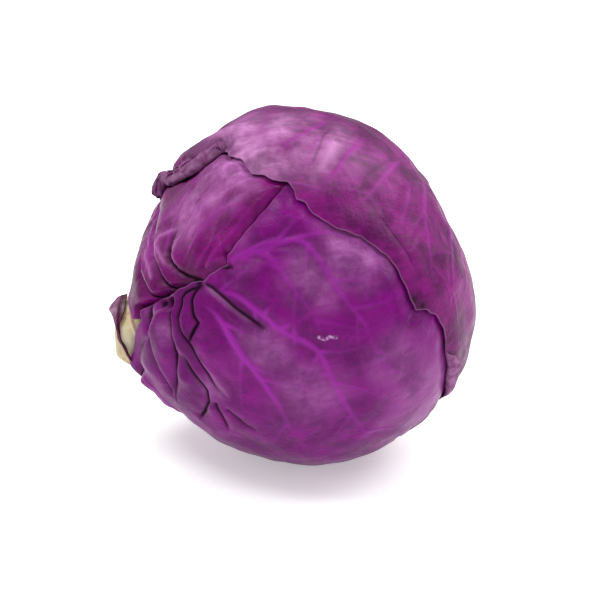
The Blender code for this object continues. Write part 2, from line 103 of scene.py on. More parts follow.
# %% One function that adds a node
KINDS = {   # short name: (kind, sockets in the order of the values, settings)
    "noise": ("ShaderNodeTexNoise", ("Vector", "Scale", "Detail", "Roughness"), {}),
    "range": ("ShaderNodeMapRange", ("Value", "From Min", "From Max", "To Min", "To Max"),
              {"interpolation_type": "SMOOTHSTEP"}),
    "paint": ("ShaderNodeMix", ("Factor", "A", "B"), {"data_type": "RGBA"}),
    "times": ("ShaderNodeMath", (0, 1), {"operation": "MULTIPLY"}),
    "times plus": ("ShaderNodeMath", (0, 1, 2), {"operation": "MULTIPLY_ADD"}),
    "bump": ("ShaderNodeBump", ("Height", "Strength", "Distance"), {}),
}


def add(tree, kind, *values, to=None, out=None, **settings):
    """Adds a node with its settings, and values or links to its sockets; gives its first output or a named one."""
    kind, sockets, usual = KINDS.get(kind, (kind, to or range(len(values)), {}))
    node = tree.nodes.new(kind)
    for name, value in {**usual, **settings}.items():
        setattr(node, name, value)
    for socket, value in zip(sockets, values):
        if isinstance(value, bpy.types.NodeSocket):
            tree.links.new(value, node.inputs[socket])
        else:
            colour = isinstance(value, str) and value.startswith("#")
            node.inputs[socket].default_value = srgb(value) if colour else value
    return node.outputs[out] if out else next((output for output in node.outputs if output.enabled), None)


def new_material(name, even):
    """A material with the values that are even all over it; gives it, its tree and its shader's sockets."""
    material = bpy.data.materials.new(name)
    material.use_nodes = True
    sockets = material.node_tree.nodes["Principled BSDF"].inputs
    for socket, value in even.items():
        sockets[socket].default_value = value
    return material, material.node_tree, sockets


print(len(KINDS), "short names for nodes")

# %% [markdown]
# The floor is a wide white card and the light is soft, as in a product photo. A large lamp hangs above the
# head on its right, so the shadow lies under the head and to its left; a second one at the upper left
# gives the waxy leaves their pale sheen. An even white surround and a faint glow of the card keep the
# floor as clean as in the photo.

# %% Floor
FLOOR_SIDE = 4.0
corners = [(x * FLOOR_SIDE, y * FLOOR_SIDE, 0.0) for x, y in ((-1, -1), (1, -1), (1, 1), (-1, 1))]
floor_mesh = bpy.data.meshes.new("floor")
floor_mesh.from_pydata(corners, [], [(0, 1, 2, 3)])
floor = put("floor", floor_mesh)
floor.location.z = -0.0002
card, _, _ = new_material("white card", {
    "Base Color": srgb("#F6F6F6"), "Roughness": 0.75, "Specular IOR Level": 0.2,
    "Emission Color": srgb("#FFFFFF"), "Emission Strength": 0.37})
floor_mesh.materials.append(card)
print("floor", 2 * FLOOR_SIDE, "m wide")

# %% Lamps and surround
LAMPS = (   # name, way from the head in the viewer's axes, distance and size in metres, power in watts
    ("overhead", (0.62, 0.76, 0.0), 1.0, 0.8, 10.8),
    ("upper left", (-0.45, 0.83, 0.46), 1.2, 0.5, 8.0),
)
for name, way, distance, size, power in LAMPS:
    data = bpy.data.lights.new(name, "AREA")
    data.size = size
    data.energy = power
    light = put(name, data)
    direction = Vector(np.array(way, float) @ FRONT_TO_WORLD).normalized()
    light.location = direction * distance + Vector(CENTRE * MM)
    light.rotation_euler = direction.to_track_quat("Z", "Y").to_euler()
surround = bpy.data.worlds.new("white surround")
surround.use_nodes = True
surround.node_tree.nodes["Background"].inputs["Color"].default_value = (1.0, 1.0, 1.0, 1.0)
surround.node_tree.nodes["Background"].inputs["Strength"].default_value = 0.6
bpy.context.scene.world = surround
bpy.context.scene.view_settings.view_transform = "Standard"
print(len(LAMPS), "lamps of", sum(lamp[-1] for lamp in LAMPS), "W together")

# %% [markdown]
# ## The form of the head
# A cabbage head is nearly a ball, but its outline is never a circle. Its half width is given all round
# the outline as the viewer sees it, and the ball takes that outline on, less and less towards the
# front and the back. Everything on the head is then a direction from its centre and a depth.

# %% Curves
def unit(vectors):
    """Vectors brought to the length 1."""
    vectors = np.asarray(vectors, float)
    return vectors / np.linalg.norm(vectors, axis=-1, keepdims=True)


def around(values, degrees):
    """A smooth closed curve through evenly spaced values, read at angles in degrees."""
    values = np.asarray(values, float)
    place = (np.asarray(degrees) % 360.0) / 360.0 * len(values)
    step = np.floor(place).astype(int)
    t = place - step
    a, b, c, d = (values[(step + offset) % len(values)] for offset in (-1, 0, 1, 2))
    return b + 0.5 * t * (c - a + t * (2 * a - 5 * b + 4 * c - d + t * (3 * (b - c) + d - a)))


def smooth_step(low, high, values):
    """0 below the low value, 1 above the high one, and a soft rise between."""
    t = np.clip((np.asarray(values, float) - low) / (high - low), 0.0, 1.0)
    return t * t * (3.0 - 2.0 * t)


def window(turn, turns):
    """1 between the middle two of four angles in degrees, 0 outside the outer two."""
    middle = 0.5 * (turns[1] + turns[2])
    turn = middle + (turn - middle + 180.0) % 360.0 - 180.0
    return smooth_step(turns[0], turns[1], turn) * (1.0 - smooth_step(turns[2], turns[3], turn))


print("a soft rise from 0 to 1, a quarter on:", float(smooth_step(0.0, 1.0, 0.25)))

# %% Head form
OUTLINE_MM = (74.5, 69.8, 71.8, 76.0, 79.2, 81.2, 75.6, 69.8, 72.6, 78.0, 75.6, 78.8, 80.9, 80.4, 80.0, 78.8)
ROUND_RADIUS_MM = 78.0
DEGREE_MM = math.radians(1.0) * ROUND_RADIUS_MM
LAYER_PITCH_MM = 2.2         # from one leaf's outer face to the next one's
STEM = unit((-0.973, -0.215, -0.078))
SWELL_MM = 1.4
PLEATS_MM = 6.0
PLEAT_FADE_DEG = (28.0, 66.0)


def swollen_mm(ways):
    """How far the blades swell outwards: a little everywhere, and more in the pleats beside the stem."""
    from_stem = np.degrees(np.arccos(np.clip(ways @ STEM, -1.0, 1.0)))
    return SWELL_MM + PLEATS_MM * (1.0 - smooth_step(*PLEAT_FADE_DEG, from_stem))


def head_radius(ways):
    """The ball's radius in each direction, with the outline's shape where the viewer sees the outline."""
    angle = np.degrees(np.arctan2(ways[:, 1], ways[:, 0]))
    rim = ways[:, 0] ** 2 + ways[:, 1] ** 2
    return ROUND_RADIUS_MM + (around(OUTLINE_MM, angle) - ROUND_RADIUS_MM) * rim


def place_mm(ways, depth, relief):
    """World positions in mm of points this deep under the head's outside, flat where it lies."""
    world_ways = ways @ FRONT_TO_WORLD
    radius = head_radius(ways) - depth + relief
    down = np.maximum(-world_ways[:, 2], 1e-6)
    flattened = (CENTRE_HEIGHT_MM - depth) / down
    radius = np.where(world_ways[:, 2] < 0.0, np.minimum(radius, flattened), radius)
    return world_ways * radius[:, None] + CENTRE


print("half width at the right", OUTLINE_MM[0], "mm, at the top", OUTLINE_MM[4], "mm")

# %% Points and lines that the photo shows
def seen(*points_mm):
    """Directions of points that the photo shows, given in mm to the right of and above the head's centre."""
    points = np.array(points_mm, float)
    outline = around(OUTLINE_MM, np.degrees(np.arctan2(points[:, 1], points[:, 0])))
    distance = np.hypot(points[:, 0], points[:, 1])
    share = np.minimum(distance / outline, 0.999)
    for _ in range(8):       # what is nearer to the camera looks bigger, so the place is found step by step
        ways = np.column_stack((unit(points) * share[:, None], np.sqrt(1.0 - share ** 2)))
        surface = ROUND_RADIUS_MM + (outline - ROUND_RADIUS_MM) * share ** 2 + swollen_mm(ways)
        nearer = 1.0 - surface * ways[:, 2] / CAMERA_DISTANCE_MM
        share = np.minimum(distance * nearer / surface, 0.999)
    return ways


def nearest(ways, line):
    """Distance in mm to a line on the head, how far along it that is, and on which side (-1 or 1)."""
    starts, spans = line[:-1], line[1:] - line[:-1]
    t = ((ways[:, None, :] - starts) * spans).sum(2) / (spans * spans).sum(1)
    t = np.clip(t, 0.0, 1.0)
    offsets = ways[:, None, :] - starts - t[:, :, None] * spans
    gaps = np.linalg.norm(offsets, axis=2)
    best = gaps.argmin(1)
    rows = np.arange(len(ways))
    side = np.sign((np.cross(spans[best], offsets[rows, best]) * ways).sum(1))
    return gaps[rows, best] * ROUND_RADIUS_MM, (best + t[rows, best]) / len(spans), side


print("a point 40 mm above the middle faces the viewer by", round(float(seen((0, 40))[0][2]), 2))

# %% Soft waves on the head
def waves(ways, size_mm, seed, count=24):
    """Soft uneven bumps between -1 and 1: many even waves of about one length in random directions."""
    random = np.random.default_rng(seed)
    total = np.zeros(len(ways))
    for _ in range(count):
        pitch = 2.0 * math.pi * ROUND_RADIUS_MM / (size_mm * random.uniform(0.75, 1.35))
        total += np.sin(ways @ (unit(random.normal(size=3)) * pitch) + random.uniform(0.0, 6.28))
    return total / math.sqrt(0.5 * count) / 1.6


print("waves of 26 mm at the stem:", round(float(waves(STEM[None], 26.0, 11)[0]), 2))

# %% [markdown]
# ## Where each leaf lies
# A leaf is described round its own middle: how many degrees it reaches in each direction, starting from
# the direction of the stem. That keeps the rim a simple closed curve, even where the leaf goes over the
# top and down the back. Where the photo shows the rim, it follows the points seen there, so its torn
# steps are the real ones; where it doesn't, the rim runs on as a smooth curve with small waves.

# %% The leaf as a sheet round its middle
class Leaf:
    """One outer leaf: its place, its rim, its rolled margins and the lines of relief on it."""

    def __init__(self, name, middle, reach, layer, rim_seen=None, cells=276, focus=(0.0, 0.0, 0.0, 0.0),
                 extra_mm=0.0, relief_from_deg=(-2.0, 8.0), margin_rows=0.16):
        self.name = name
        self.margin_rows = margin_rows
        self.layer = layer
        self.cells = cells
        self.focus = focus
        self.reach = reach
        self.extra_mm = extra_mm
        self.relief_from_deg = relief_from_deg
        self.centre = unit(middle)
        self.toward_stem = unit(STEM - (STEM @ self.centre) * self.centre)
        self.sideways = np.cross(self.centre, self.toward_stem)
        self.traced = None
        if rim_seen is not None:
            turn, away = self.polar(rim_seen)
            turn = np.degrees(np.unwrap(np.radians(turn)))
            order = np.argsort(turn)
            self.traced = (turn[order], away[order])
        self.ribs, self.creases, self.steps, self.crests = [], [], [], []
        self.tears, self.rolls, self.lifts, self.bulges, self.pits, self.mounds = [], [], [], [], [], []

    def polar(self, ways):
        """Angle round the leaf's middle, and angle away from it, of directions on the head."""
        turn = np.degrees(np.arctan2(ways @ self.sideways, ways @ self.toward_stem))
        away = np.degrees(np.arccos(np.clip(ways @ self.centre, -1.0, 1.0)))
        return turn, away

    def rim_deg(self, turn, torn=True):
        """How far the leaf reaches at an angle round its middle, with or without its tears."""
        wave = 0.7 * np.sin(np.radians(7 * turn + 40 * self.layer)) + 0.42 * np.sin(np.radians(17 * turn))
        fine = 0.3 * np.sin(np.radians(41 * turn)) + 0.25 * np.sin(np.radians(67 * turn + 30))
        rim = around(self.reach, turn) + wave
        if self.traced is not None:
            turns, aways = self.traced
            first, last = turns[0], turns[-1]
            turn = first - 20.0 + (turn - first + 20.0) % 360.0
            share = smooth_step(first - 4.0, first, turn) * (1.0 - smooth_step(last, last + 4.0, turn))
            rim = rim + (np.interp(turn, turns, aways) - rim) * share
        for place, depth, width in self.tears if torn else ():
            rim = rim - depth * np.exp(-((turn - place) / width) ** 2)
        return rim + 0.5 * fine

    def margin(self, turn):
        """Where the sheet leaves the head to roll outwards, where it ends, the roll's radius and its full bend."""
        start = self.rim_deg(turn)
        end = start
        radius = np.ones(len(start))
        limit = np.full(len(start), 360.0)
        for turns, roll_mm, length_mm, bend_deg in self.rolls:
            share = window(turn, turns)
            start = start - share * roll_mm / DEGREE_MM
            end = end + share * (length_mm - roll_mm) / DEGREE_MM
            radius = np.where(share > 0.0, roll_mm, radius)
            limit = np.where(share > 0.0, bend_deg, limit)
        return start, end, radius, limit

    def direction(self, turn, away):
        turn, away = np.radians(turn), np.radians(away)
        side = np.outer(np.cos(turn), self.toward_stem) + np.outer(np.sin(turn), self.sideways)
        return np.cos(away)[:, None] * self.centre + np.sin(away)[:, None] * side

    def path(self, *stops):
        """A line over the leaf through stops given as (angle round the middle, share of the reach)."""
        turns, shares = np.array(stops, float).T
        return self.direction(turns, shares * around(self.reach, turns))

    def inside_deg(self, ways):
        turn, away = self.polar(ways)
        return self.rim_deg(turn) - away


# %% The four outer leaves, from the inside out
RIM_TOP = seen((-71, 41.5), (-63, 45), (-60, 46.5), (-54, 49.5), (-50.5, 51.5), (-46.5, 54.5), (-43.5, 57),
               (-37, 61.5), (-36, 59), (-31, 58), (-27, 53), (-26, 51),
               (-20, 50), (-13, 47), (-9, 47), (-6, 43), (-5, 39), (-1, 37), (3, 32), (11, 27), (18, 24), (25, 22),
               (31, 17), (36, 14), (41, 8), (44, 2), (46, -3), (50, -12), (55, -12), (59, -14), (63, -21),
               (64, -30), (65, -37), (64, -46), (64, -53))
RIM_FRONT = seen((-9, 47), (-17, 37), (-24, 29), (-31, 21), (-35, 16), (-37, 13), (-37, 9), (-40, 8), (-43, 6),
                 (-49, 1.5), (-54, 1), (-60, -2), (-67, -6), (-74, -9), (-78, -12))
leaf_back = Leaf("leaf_back", (0.15, -0.30, -0.94),
                 (76.5, 82, 85, 88, 88, 86, 84, 82, 80, 78, 77, 78, 80, 82, 84, 84, 82, 80, 80, 82, 84, 84, 83,
                  80), 3)
leaf_left = Leaf("leaf_left", (-0.75, 0.5, 0.3),
                 (35.5, 37, 43.5, 48, 50, 51, 52, 54, 56, 58, 60, 61, 62, 62, 62, 62, 62, 61, 59, 56, 52, 46, 40,
                  36.5), 2, extra_mm=1.2, relief_from_deg=(0.2, 3.0))
leaf_front = Leaf("leaf_front", (0.0, -0.64, 0.77),
                  (71, 76, 88, 100, 103, 101, 88, 66, 49, 66, 71, 73, 75, 77, 78, 80, 80, 78, 69, 60, 54, 54,
                   61, 67), 1, RIM_FRONT, focus=(0.5, 0.42, 0.3, -0.12))
leaf_top = Leaf("leaf_top", (0.45, 0.80, -0.25),
                (110, 95, 69, 67, 74, 79, 81, 84, 80, 82, 89, 92, 97, 100, 100, 97, 92, 88, 86, 88, 92, 98,
                 105, 110), 0, RIM_TOP, margin_rows=0.38)
# Rolls are (window of angles round the middle, radius, length of the strip, full bend in degrees), tears are
# (angle, depth, width in degrees), lifts are (window, height, degrees inside the rim), and bulges are (window,
# height, and the degrees inside the rim where they begin, are full, begin to sink and end)
leaf_top.rolls = [((18.0, 21.0, 55.5, 58.5), 2.1, 11.0, 330.0), ((163.0, 176.0, 177.0, 199.0), 0.8, 6.6, 158.0)]
leaf_top.tears = [(19.4, 2.6, 0.5), (21.0, 1.6, 0.35), (22.2, 2.2, 0.3), (27.0, 0.6, 1.0), (38.0, 0.5, 1.2)]
leaf_top.lifts = [((14.0, 20.0, 24.0, 30.0), 3.5, 9.0)]
leaf_top.bulges = [((20.0, 32.0, 52.0, 66.0), 5.6, 1.0, 5.0, 8.0, 19.0)]
LEAVES = [leaf_back, leaf_left, leaf_front, leaf_top]
for leaf in LEAVES:
    print(leaf.name, "reaches", round(float(leaf.rim_deg(np.arange(360.0)).min())), "to",
          round(float(leaf.rim_deg(np.arange(360.0)).max())), "degrees round its middle")

# %% [markdown]
# ## Ribs, creases and folds
# A leaf's ribs run from its base at the stem and fork towards the rim. They stand out a little on the
# side that faces us, and the blade swells between them. Beside the stem the blade is too wide for its
# place, so it is pressed into pleats with deep narrow creases. Each line is set by a few points that
# the photo shows; the thin side veins, and the lines on the hidden sides, follow the same habit by a rule
# with a fixed seed.

# %% Ribs as (line, strength at its start)
leaf_top.ribs = [
    (leaf_top.path((0, 0.96), (6, 0.6), (350, 0.25), (180, 0.1), (170, 0.5), (166, 0.85)), 1.3),
    (seen((26, 68), (23, 63), (18, 59), (14, 52), (9, 46), (-1, 40)), 0.9),
    (seen((12, 76), (7, 74), (-1, 70), (-8, 66), (-13, 60), (-19, 56)), 0.8),
    (seen((-8, 66), (-14, 64), (-20, 62)), 0.4),
    (seen((9, 71), (5, 67), (1, 58), (-2, 52)), 0.5),
    (seen((-16, 79), (-20, 73), (-22, 68), (-26, 64)), 0.6),
    (seen((44, 58), (41, 56), (36, 50), (32, 46), (29, 41), (24, 37), (17, 33)), 0.9),
    (seen((51, 52), (53, 49), (54, 42), (54, 33), (56, 21), (57, 5), (58, -8)), 0.9),
    (seen((60, 44), (64, 28), (66, 10), (64, -14)), 0.8),
    (seen((47, 50), (47, 40), (44, 30), (43, 16)), 0.6),
    (seen((54, 33), (48, 24), (44, 14)), 0.4),
    (seen((29, 41), (34, 30), (38, 20)), 0.4),
] + [(leaf_top.path((350, 0.25 + 0.1 * n), (turn, 0.5), (turn + 4, 0.9)), 0.9)
     for n, turn in enumerate((225, 252, 280, 305, 325))]
leaf_front.ribs = [
    (seen((-49, -9), (-42, -13), (-36, -23), (-31, -31), (-22, -43), (-12, -56), (-6, -68)), 1.2),
    (seen((-50, 0), (-44, -3), (-33, -5), (-26, -11), (-13, -21), (0, -27), (6, -31), (10, -41), (14, -49),
          (29, -71)), 1.1),
    (seen((-44, 5), (-30, 14), (-21, 17), (-11, 5), (-7, -2), (0, -10), (5, -18), (7, -24)), 0.8),
    (seen((-42, 8), (-20, 19), (-2, 21), (5, 12), (12, 0), (20, -11), (26, -17), (30, -26), (32, -33),
          (36, -38)), 0.9),
    (seen((-30, 12), (10, 25), (32, 16), (36, 2), (38, -7)), 0.6),
    (seen((20, -11), (30, -10), (38, -7), (47, -6)), 0.4),
    (seen((12, 0), (20, 4), (27, 3)), 0.4),
    (seen((6, -31), (18, -31), (30, -26)), 0.4),
    (seen((36, -38), (46, -42), (54, -52)), 0.4),
    (seen((-26, -38), (-14, -42), (10, -41)), 0.3),
    (seen((-7, -2), (-16, -8), (-20, -14)), 0.3),
] + [(leaf_front.path((5, 0.95), (turn - 10, 0.7), (turn, 0.95)), 0.9) for turn in (30, 52, 74)]
leaf_left.ribs = [
    (seen((-74, 2), (-71, 24), (-65, 46), (-52, 60)), 0.9),
    (seen((-68, 8), (-62, 26), (-52, 44), (-44, 56)), 0.8),
    (seen((-60, 12), (-54, 26), (-44, 42), (-36, 52)), 0.5),
    (seen((-56, 10), (-46, 26), (-36, 40), (-30, 47)), 0.8),
    (seen((-50, 8), (-42, 20), (-30, 34), (-22, 44)), 0.4),
    (seen((-46, 8), (-36, 22), (-24, 36), (-14, 44)), 0.4),
] + [(leaf_left.path((0, 0.95), (turn, 0.5), (turn, 0.9)), 0.9) for turn in (200, 235, 270)]
leaf_back.ribs = [
    (leaf_back.path((0, 0.97), (4, 0.5), (180, 0.1), (178, 0.9)), 1.3),
] + [(leaf_back.path((2, share), (turn, 0.6), (turn, 0.92)), 0.9)
     for share, turn in ((0.8, 40), (0.5, 75), (0.2, 115), (0.1, 150), (0.8, 320), (0.5, 285), (0.2, 245),
                         (0.1, 210))]

# %% Side veins that fork off the ribs by a rule
VEIN_GAP_MM = 17.0
VEIN_LENGTH_MM = (16.0, 34.0)
VEIN_STRENGTH = 0.42
LOOK_AHEAD_MM = 2.0


def lengths_mm(line):
    """How far along a line each of its points lies."""
    steps = np.linalg.norm(np.diff(line, axis=0), axis=1) * ROUND_RADIUS_MM
    return np.concatenate(((0.0,), np.cumsum(steps)))


def side_veins(ribs, seed):
    """Thin veins that leave each strong rib on alternate sides and bend back along it."""
    random = np.random.default_rng(seed)
    veins = []
    for line, strength in ribs:
        stops = lengths_mm(line)
        hand = random.choice((-1.0, 1.0))
        if strength < 0.8:
            continue
        for place in np.arange(0.8 * VEIN_GAP_MM, stops[-1] - 8.0, VEIN_GAP_MM):
            place += random.uniform(-4.0, 4.0)
            start, ahead = (unit([np.interp(at, stops, line[:, axis]) for axis in range(3)])
                            for at in (place, place + LOOK_AHEAD_MM))
            forward = unit(ahead - start)
            sideways = np.cross(start, forward) * hand
            length = random.uniform(*VEIN_LENGTH_MM) / ROUND_RADIUS_MM
            spread = random.uniform(0.75, 1.05)
            steps = np.linspace(0.0, 1.0, 5)[:, None]
            bowed = math.sin(spread) * sideways * (1.0 - 0.25 * steps)
            bent = steps * length * (math.cos(spread) * forward + bowed)
            veins.append((unit(start + bent), VEIN_STRENGTH))
            hand = -hand
    return veins


for number, leaf in enumerate(LEAVES):
    leaf.veins = side_veins(leaf.ribs, 50 + number)
    print(leaf.name, len(leaf.ribs), "ribs and", len(leaf.veins), "side veins")

# %% Folds of the front leaf: creases and the edges of its pleats
# Creases are (line from the deep end, share of the relief they take, width left and right of it in mm)
leaf_front.creases = [
    (seen((-51.5, -1.5), (-54.5, -2.5), (-57.5, -4), (-59, -6.5), (-59, -9.5), (-60, -13), (-60.5, -16), (-59.5,
          -19.5), (-57, -24), (-54.5, -28), (-52.5, -32), (-50, -36.5), (-46.5, -41.5), (-43, -47), (-40, -50),
          (-37.5, -51.5), (-33, -54.5)), 1.0, 2.2, 4.5),
    (seen((-51.5, -1.5), (-53, -4.5), (-54, -7.5), (-53.5, -12.5), (-52.5, -15.5), (-50.5, -18), (-52, -20.5),
          (-54, -25), (-54.5, -28), (-55, -30)), 1.0, 2.2, 3.2),
    (seen((-64, -9.5), (-65, -14), (-64.5, -18), (-64, -23), (-62.5, -27.5), (-61.5, -32.5), (-61.5, -37),
          (-61.5, -41), (-61.5, -46.5), (-60.5, -51), (-57.5, -55.5)), 1.0, 2.4, 5.0),
    (seen((-42, -55), (-40, -59.5), (-37.5, -64.5), (-35, -68)), 0.8, 2.5, 2.5),
    (seen((-36.5, -58), (-31, -62), (-25.5, -66), (-21.5, -68)), 0.7, 2.5, 2.5),
    (seen((-73, -5), (-74, -7), (-76, -11.5), (-76.5, -16.5), (-76, -23), (-75.5, -24.5)), 1.0, 3.0, 3.0),
]
LOWER_EDGE = ((-61, -52), (-65, -47), (-67.5, -43), (-70, -38.5), (-71, -35), (-72.5, -30), (-74, -25.5),
              (-75, -22), (-74, -17.5), (-71.5, -13.5), (-68, -11))
OUTER_EDGE = ((-65.5, -54), (-69.5, -50), (-72, -46.5), (-74.5, -42), (-76.5, -38), (-78, -33.5), (-78, -29.5),
              (-76.5, -26), (-74.5, -24))
leaf_front.steps = [     # (line along the edge, how far it drops, width of the gentle side)
    (seen((-49.5, 1), (-44.5, -2), (-39, -7), (-33.5, -12), (-28.5, -15.5), (-21.5, -20.5), (-17.5, -24)), 5.0,
          6.5),
    (seen(*LOWER_EDGE), 4.0, 5.0),
    (seen(*OUTER_EDGE), 3.5, 5.0),
    (seen((-49, -61.5), (-47, -58.5), (-45, -54), (-46.5, -49.5), (-52, -41.5), (-57, -34), (-60.5, -28.5)),
          1.8, 3.5),
    (seen((-46.5, 4.5), (-41.5, 8), (-37.5, 7.5), (-33, 8)), 1.4, 4.0),
]
# Crests are raised, and also get a painted highlight along them
leaf_front.crests = [    # (line of the sharp crest, its height, its width)
    (seen(*LOWER_EDGE, (-65.5, -12)), 0.3, 0.7),
    (seen(*OUTER_EDGE), 0.3, 0.7),
    (seen((-46, -57.5), (-45, -54), (-46.5, -49.5), (-52, -41.5), (-57, -34), (-60.5, -28.5), (-62.5, -24),
          (-63, -20)), 0.3, 0.8),
    (seen((-50, 0.5), (-44.5, -3), (-39, -8), (-33.5, -12.5), (-29, -16), (-24.5, -19)), 0.4, 0.9),
    (seen((-54, -28.5), (-50, -35.5), (-44.5, -41), (-40, -47), (-34.5, -53.5)), 0.3, 0.9),
]
# Pits are (place, depth, width, and how much shade is painted in the hollow), and mounds are (place, height, width)
leaf_front.pits = [((-66, -8.5), 6.0, 2.8, 0.95), ((-69, -9.5), 4.0, 2.2, 0.9), ((-75, -14), 3.0, 2.2, 0.8),
                   ((-51, 0), 2.5, 3.0, 0.8)]
SCRATCH = seen((5, -24.5), (8, -25.5), (10.5, -24), (13.5, -24.5))     # a small scrape that healed pale
leaf_front.mounds = [((-79, -37), 4.0, 6.5), ((-74, -45), 4.8, 6.0), ((-66, -54), 2.5, 7.0), ((-57, -22), 1.6, 5.0),
                     ((-56, -42), 2.4, 5.5), ((-66, -30), 1.4, 4.5), ((-36, -34), 1.6, 8.0), ((-47, -30), 1.4, 4.5),
                     ((-44, -56), 1.6, 5.0)]
print("leaf_front:", len(leaf_front.creases), "creases and", len(leaf_front.steps), "steps")

# %% Folds and lobes of the left leaf
leaf_left.creases = [
    (seen((-50, 2), (-52, 2.5), (-56, 4), (-60, 6.5), (-62, 9), (-63.5, 12.5), (-64, 16), (-62.5, 20.5), (-59.5,
          25), (-56, 28)), 1.0, 4.5, 2.2),
    (seen((-52, 2), (-56, 0), (-59, -2), (-62, -2.5), (-65, -1), (-67, 2), (-69.5, 7), (-71.5, 12.5), (-71.5,
          17.5), (-69.5, 22.5), (-65.5, 25.5)), 1.0, 4.5, 2.2),
    (seen((-59, -2), (-62.5, -3), (-66, -4.5), (-69, -6), (-71.5, -7), (-73.5, -5), (-75.5, -1), (-77, 4.5),
          (-76, 10.5), (-75, 16)), 1.0, 4.0, 2.2),
    (seen((-47, 8), (-43, 16), (-41, 26), (-35, 38)), 0.35, 3.5, 3.5),
    (seen((-70, 24), (-67, 36), (-60, 48)), 0.35, 3.0, 3.0),
    (seen((-56, 26), (-50, 36), (-41, 48)), 0.3, 3.0, 3.0),
]
leaf_left.mounds = [((-81, 2), -2.6, 8.0), ((-48, 18), 2.0, 9.0), ((-65, 13), 1.2, 6.0)]
leaf_left.crests = [
    (seen((-63.5, 7), (-67, 12.5), (-69, 18), (-67, 22), (-62.5, 24.5), (-58, 26)), 0.3, 0.9),
    (seen((-71, 1.5), (-73, 7), (-74.5, 12.5), (-73.5, 18)), 0.3, 0.8),
    (seen((-57, 3.5), (-61, 8), (-62, 13.5), (-60, 19.5), (-55.5, 25)), 0.25, 0.9),
]
# the hollows of the left leaf get painted shade
leaf_left.pits = [((-66, -6), 4.0, 3.2, 0.9), ((-64, 14), 2.0, 2.2, 0.7)]
print("leaf_left:", len(leaf_left.creases), "creases")

# %% Soft folds of the top leaf
leaf_top.creases = [
    (seen((10, 71), (7, 68), (6, 64), (3, 57), (0, 52)), 0.5, 3.0, 3.0),
    (seen((44, 58), (38, 57), (31, 53), (27, 49), (25, 43), (21, 38)), 0.5, 3.0, 3.0),
    (seen((24, 72), (20, 68), (17, 66)), 0.4, 2.4, 2.4),
    (seen((34, 30), (40, 22), (47, 12), (50, 2)), 0.45, 4.0, 3.0),
    (seen((60, 40), (60, 26), (61, 14)), 0.4, 3.0, 3.0),
    (seen((68, 34), (71, 20), (72, 4)), 0.4, 3.0, 3.0),
]
# painted shade where the top leaf's rim is notched
leaf_top.pits = [((49, -7), 0.4, 3.0, 0.7), ((53, -10), 0.4, 2.4, 0.7)]
leaf_top.mounds = [((-21, 81), 1.6, 8.0), ((-20, 62), 1.0, 9.0), ((8, 62), 1.2, 6.0)]
leaf_top.crests = [(seen((13, 66), (9, 58), (5, 50)), 0.5, 2.0)]
print("leaf_top:", len(leaf_top.creases), "soft creases")

# %% Creases on the hidden sides, by a rule
def pleat_creases(count=13, seed=7):
    """Creases that fan out from the stem on the sides away from the viewer, uneven as on a grown head."""
    random = np.random.default_rng(seed)
    across = unit(np.cross(STEM, OUT @ FRONT_TO_WORLD.T))
    upright = np.cross(STEM, across)
    lines = []
    for n in range(count):
        turn = math.radians(360.0 * (n + random.uniform(-0.3, 0.3)) / count)
        bend = random.uniform(-0.35, 0.35)
        reach = random.uniform(38.0, 58.0)
        line = []
        for away in np.radians(np.linspace(15.0, reach, 6)):
            turned = turn + bend * away
            line.append(math.cos(away) * STEM
                        + math.sin(away) * (math.cos(turned) * across + math.sin(turned) * upright))
        if line[3][2] < 0.15:
            lines.append((np.array(line), 0.9, 3.2, 2.4))
    return lines


hidden_creases = pleat_creases()
print(len(hidden_creases), "creases on the hidden sides")

# %% [markdown]
# The relief of a leaf is worked out for any direction, in the order in which the real one got it: the blade
# swells and sinks towards its ribs, creases and steps cut into it, hollows and lobes shape it beside the
# stem, and last it is pressed flat where a rim lies on the next leaf. Each step also says how dark its
# folds are, because no lamp reaches the bottom of a narrow crease.

# %% Creases and steps
# Creases get painted shade: a dark core line in their bottom and a softer halo of shade beside it
CREASE_CORE_MM, CREASE_HALO_MM = 0.9, 2.5     # how wide the dark line of a crease is, and the shade beside it
STEP_EDGE_MM = 1.3
STEEP_MM = 1.1               # how wide the steep side of a step is
DEEPEST_MM = -1.5


def folded(leaf, ways, height):
    """The relief after creases and steps have cut into a height, and the shade that is painted into them."""
    kept, dark = np.ones(len(ways)), np.zeros(len(ways))
    for line, share, left, right in leaf.creases + hidden_creases:
        away, along, side = nearest(ways, line)
        fade = share * (1.0 - smooth_step(0.7, 1.0, along))
        wall = np.sqrt(1.0 - np.exp(-away / np.where(side > 0, left, right)))
        kept = np.minimum(kept, 1.0 - fade * (1.0 - wall))
        # painted shade: a dark line in the bottom of the crease and a softer halo beside it
        shade = 0.6 * np.exp(-(away / CREASE_CORE_MM) ** 2) + 0.4 * np.exp(-away / CREASE_HALO_MM)
        dark = np.maximum(dark, fade * shade)
    relief = np.maximum(height, 0.2) * kept
    for line, drop, width in leaf.steps:
        away, along, side = nearest(ways, line)
        fade = smooth_step(0.0, 0.08, along) * (1.0 - smooth_step(0.75, 1.0, along))
        relief -= drop * fade * np.where(side > 0, np.exp(-away / width), np.exp(-away / STEEP_MM))
        # painted shade on the low side of a step, and a thin line of it at the foot of the steep side
        low = 0.7 * np.exp(-(away / STEP_EDGE_MM) ** 2) + 0.3 * np.exp(-away / width)
        edge = np.where(side > 0, low, np.exp(-(away / CREASE_CORE_MM) ** 2))
        dark = np.maximum(dark, 0.85 * fade * edge)
    return relief, dark


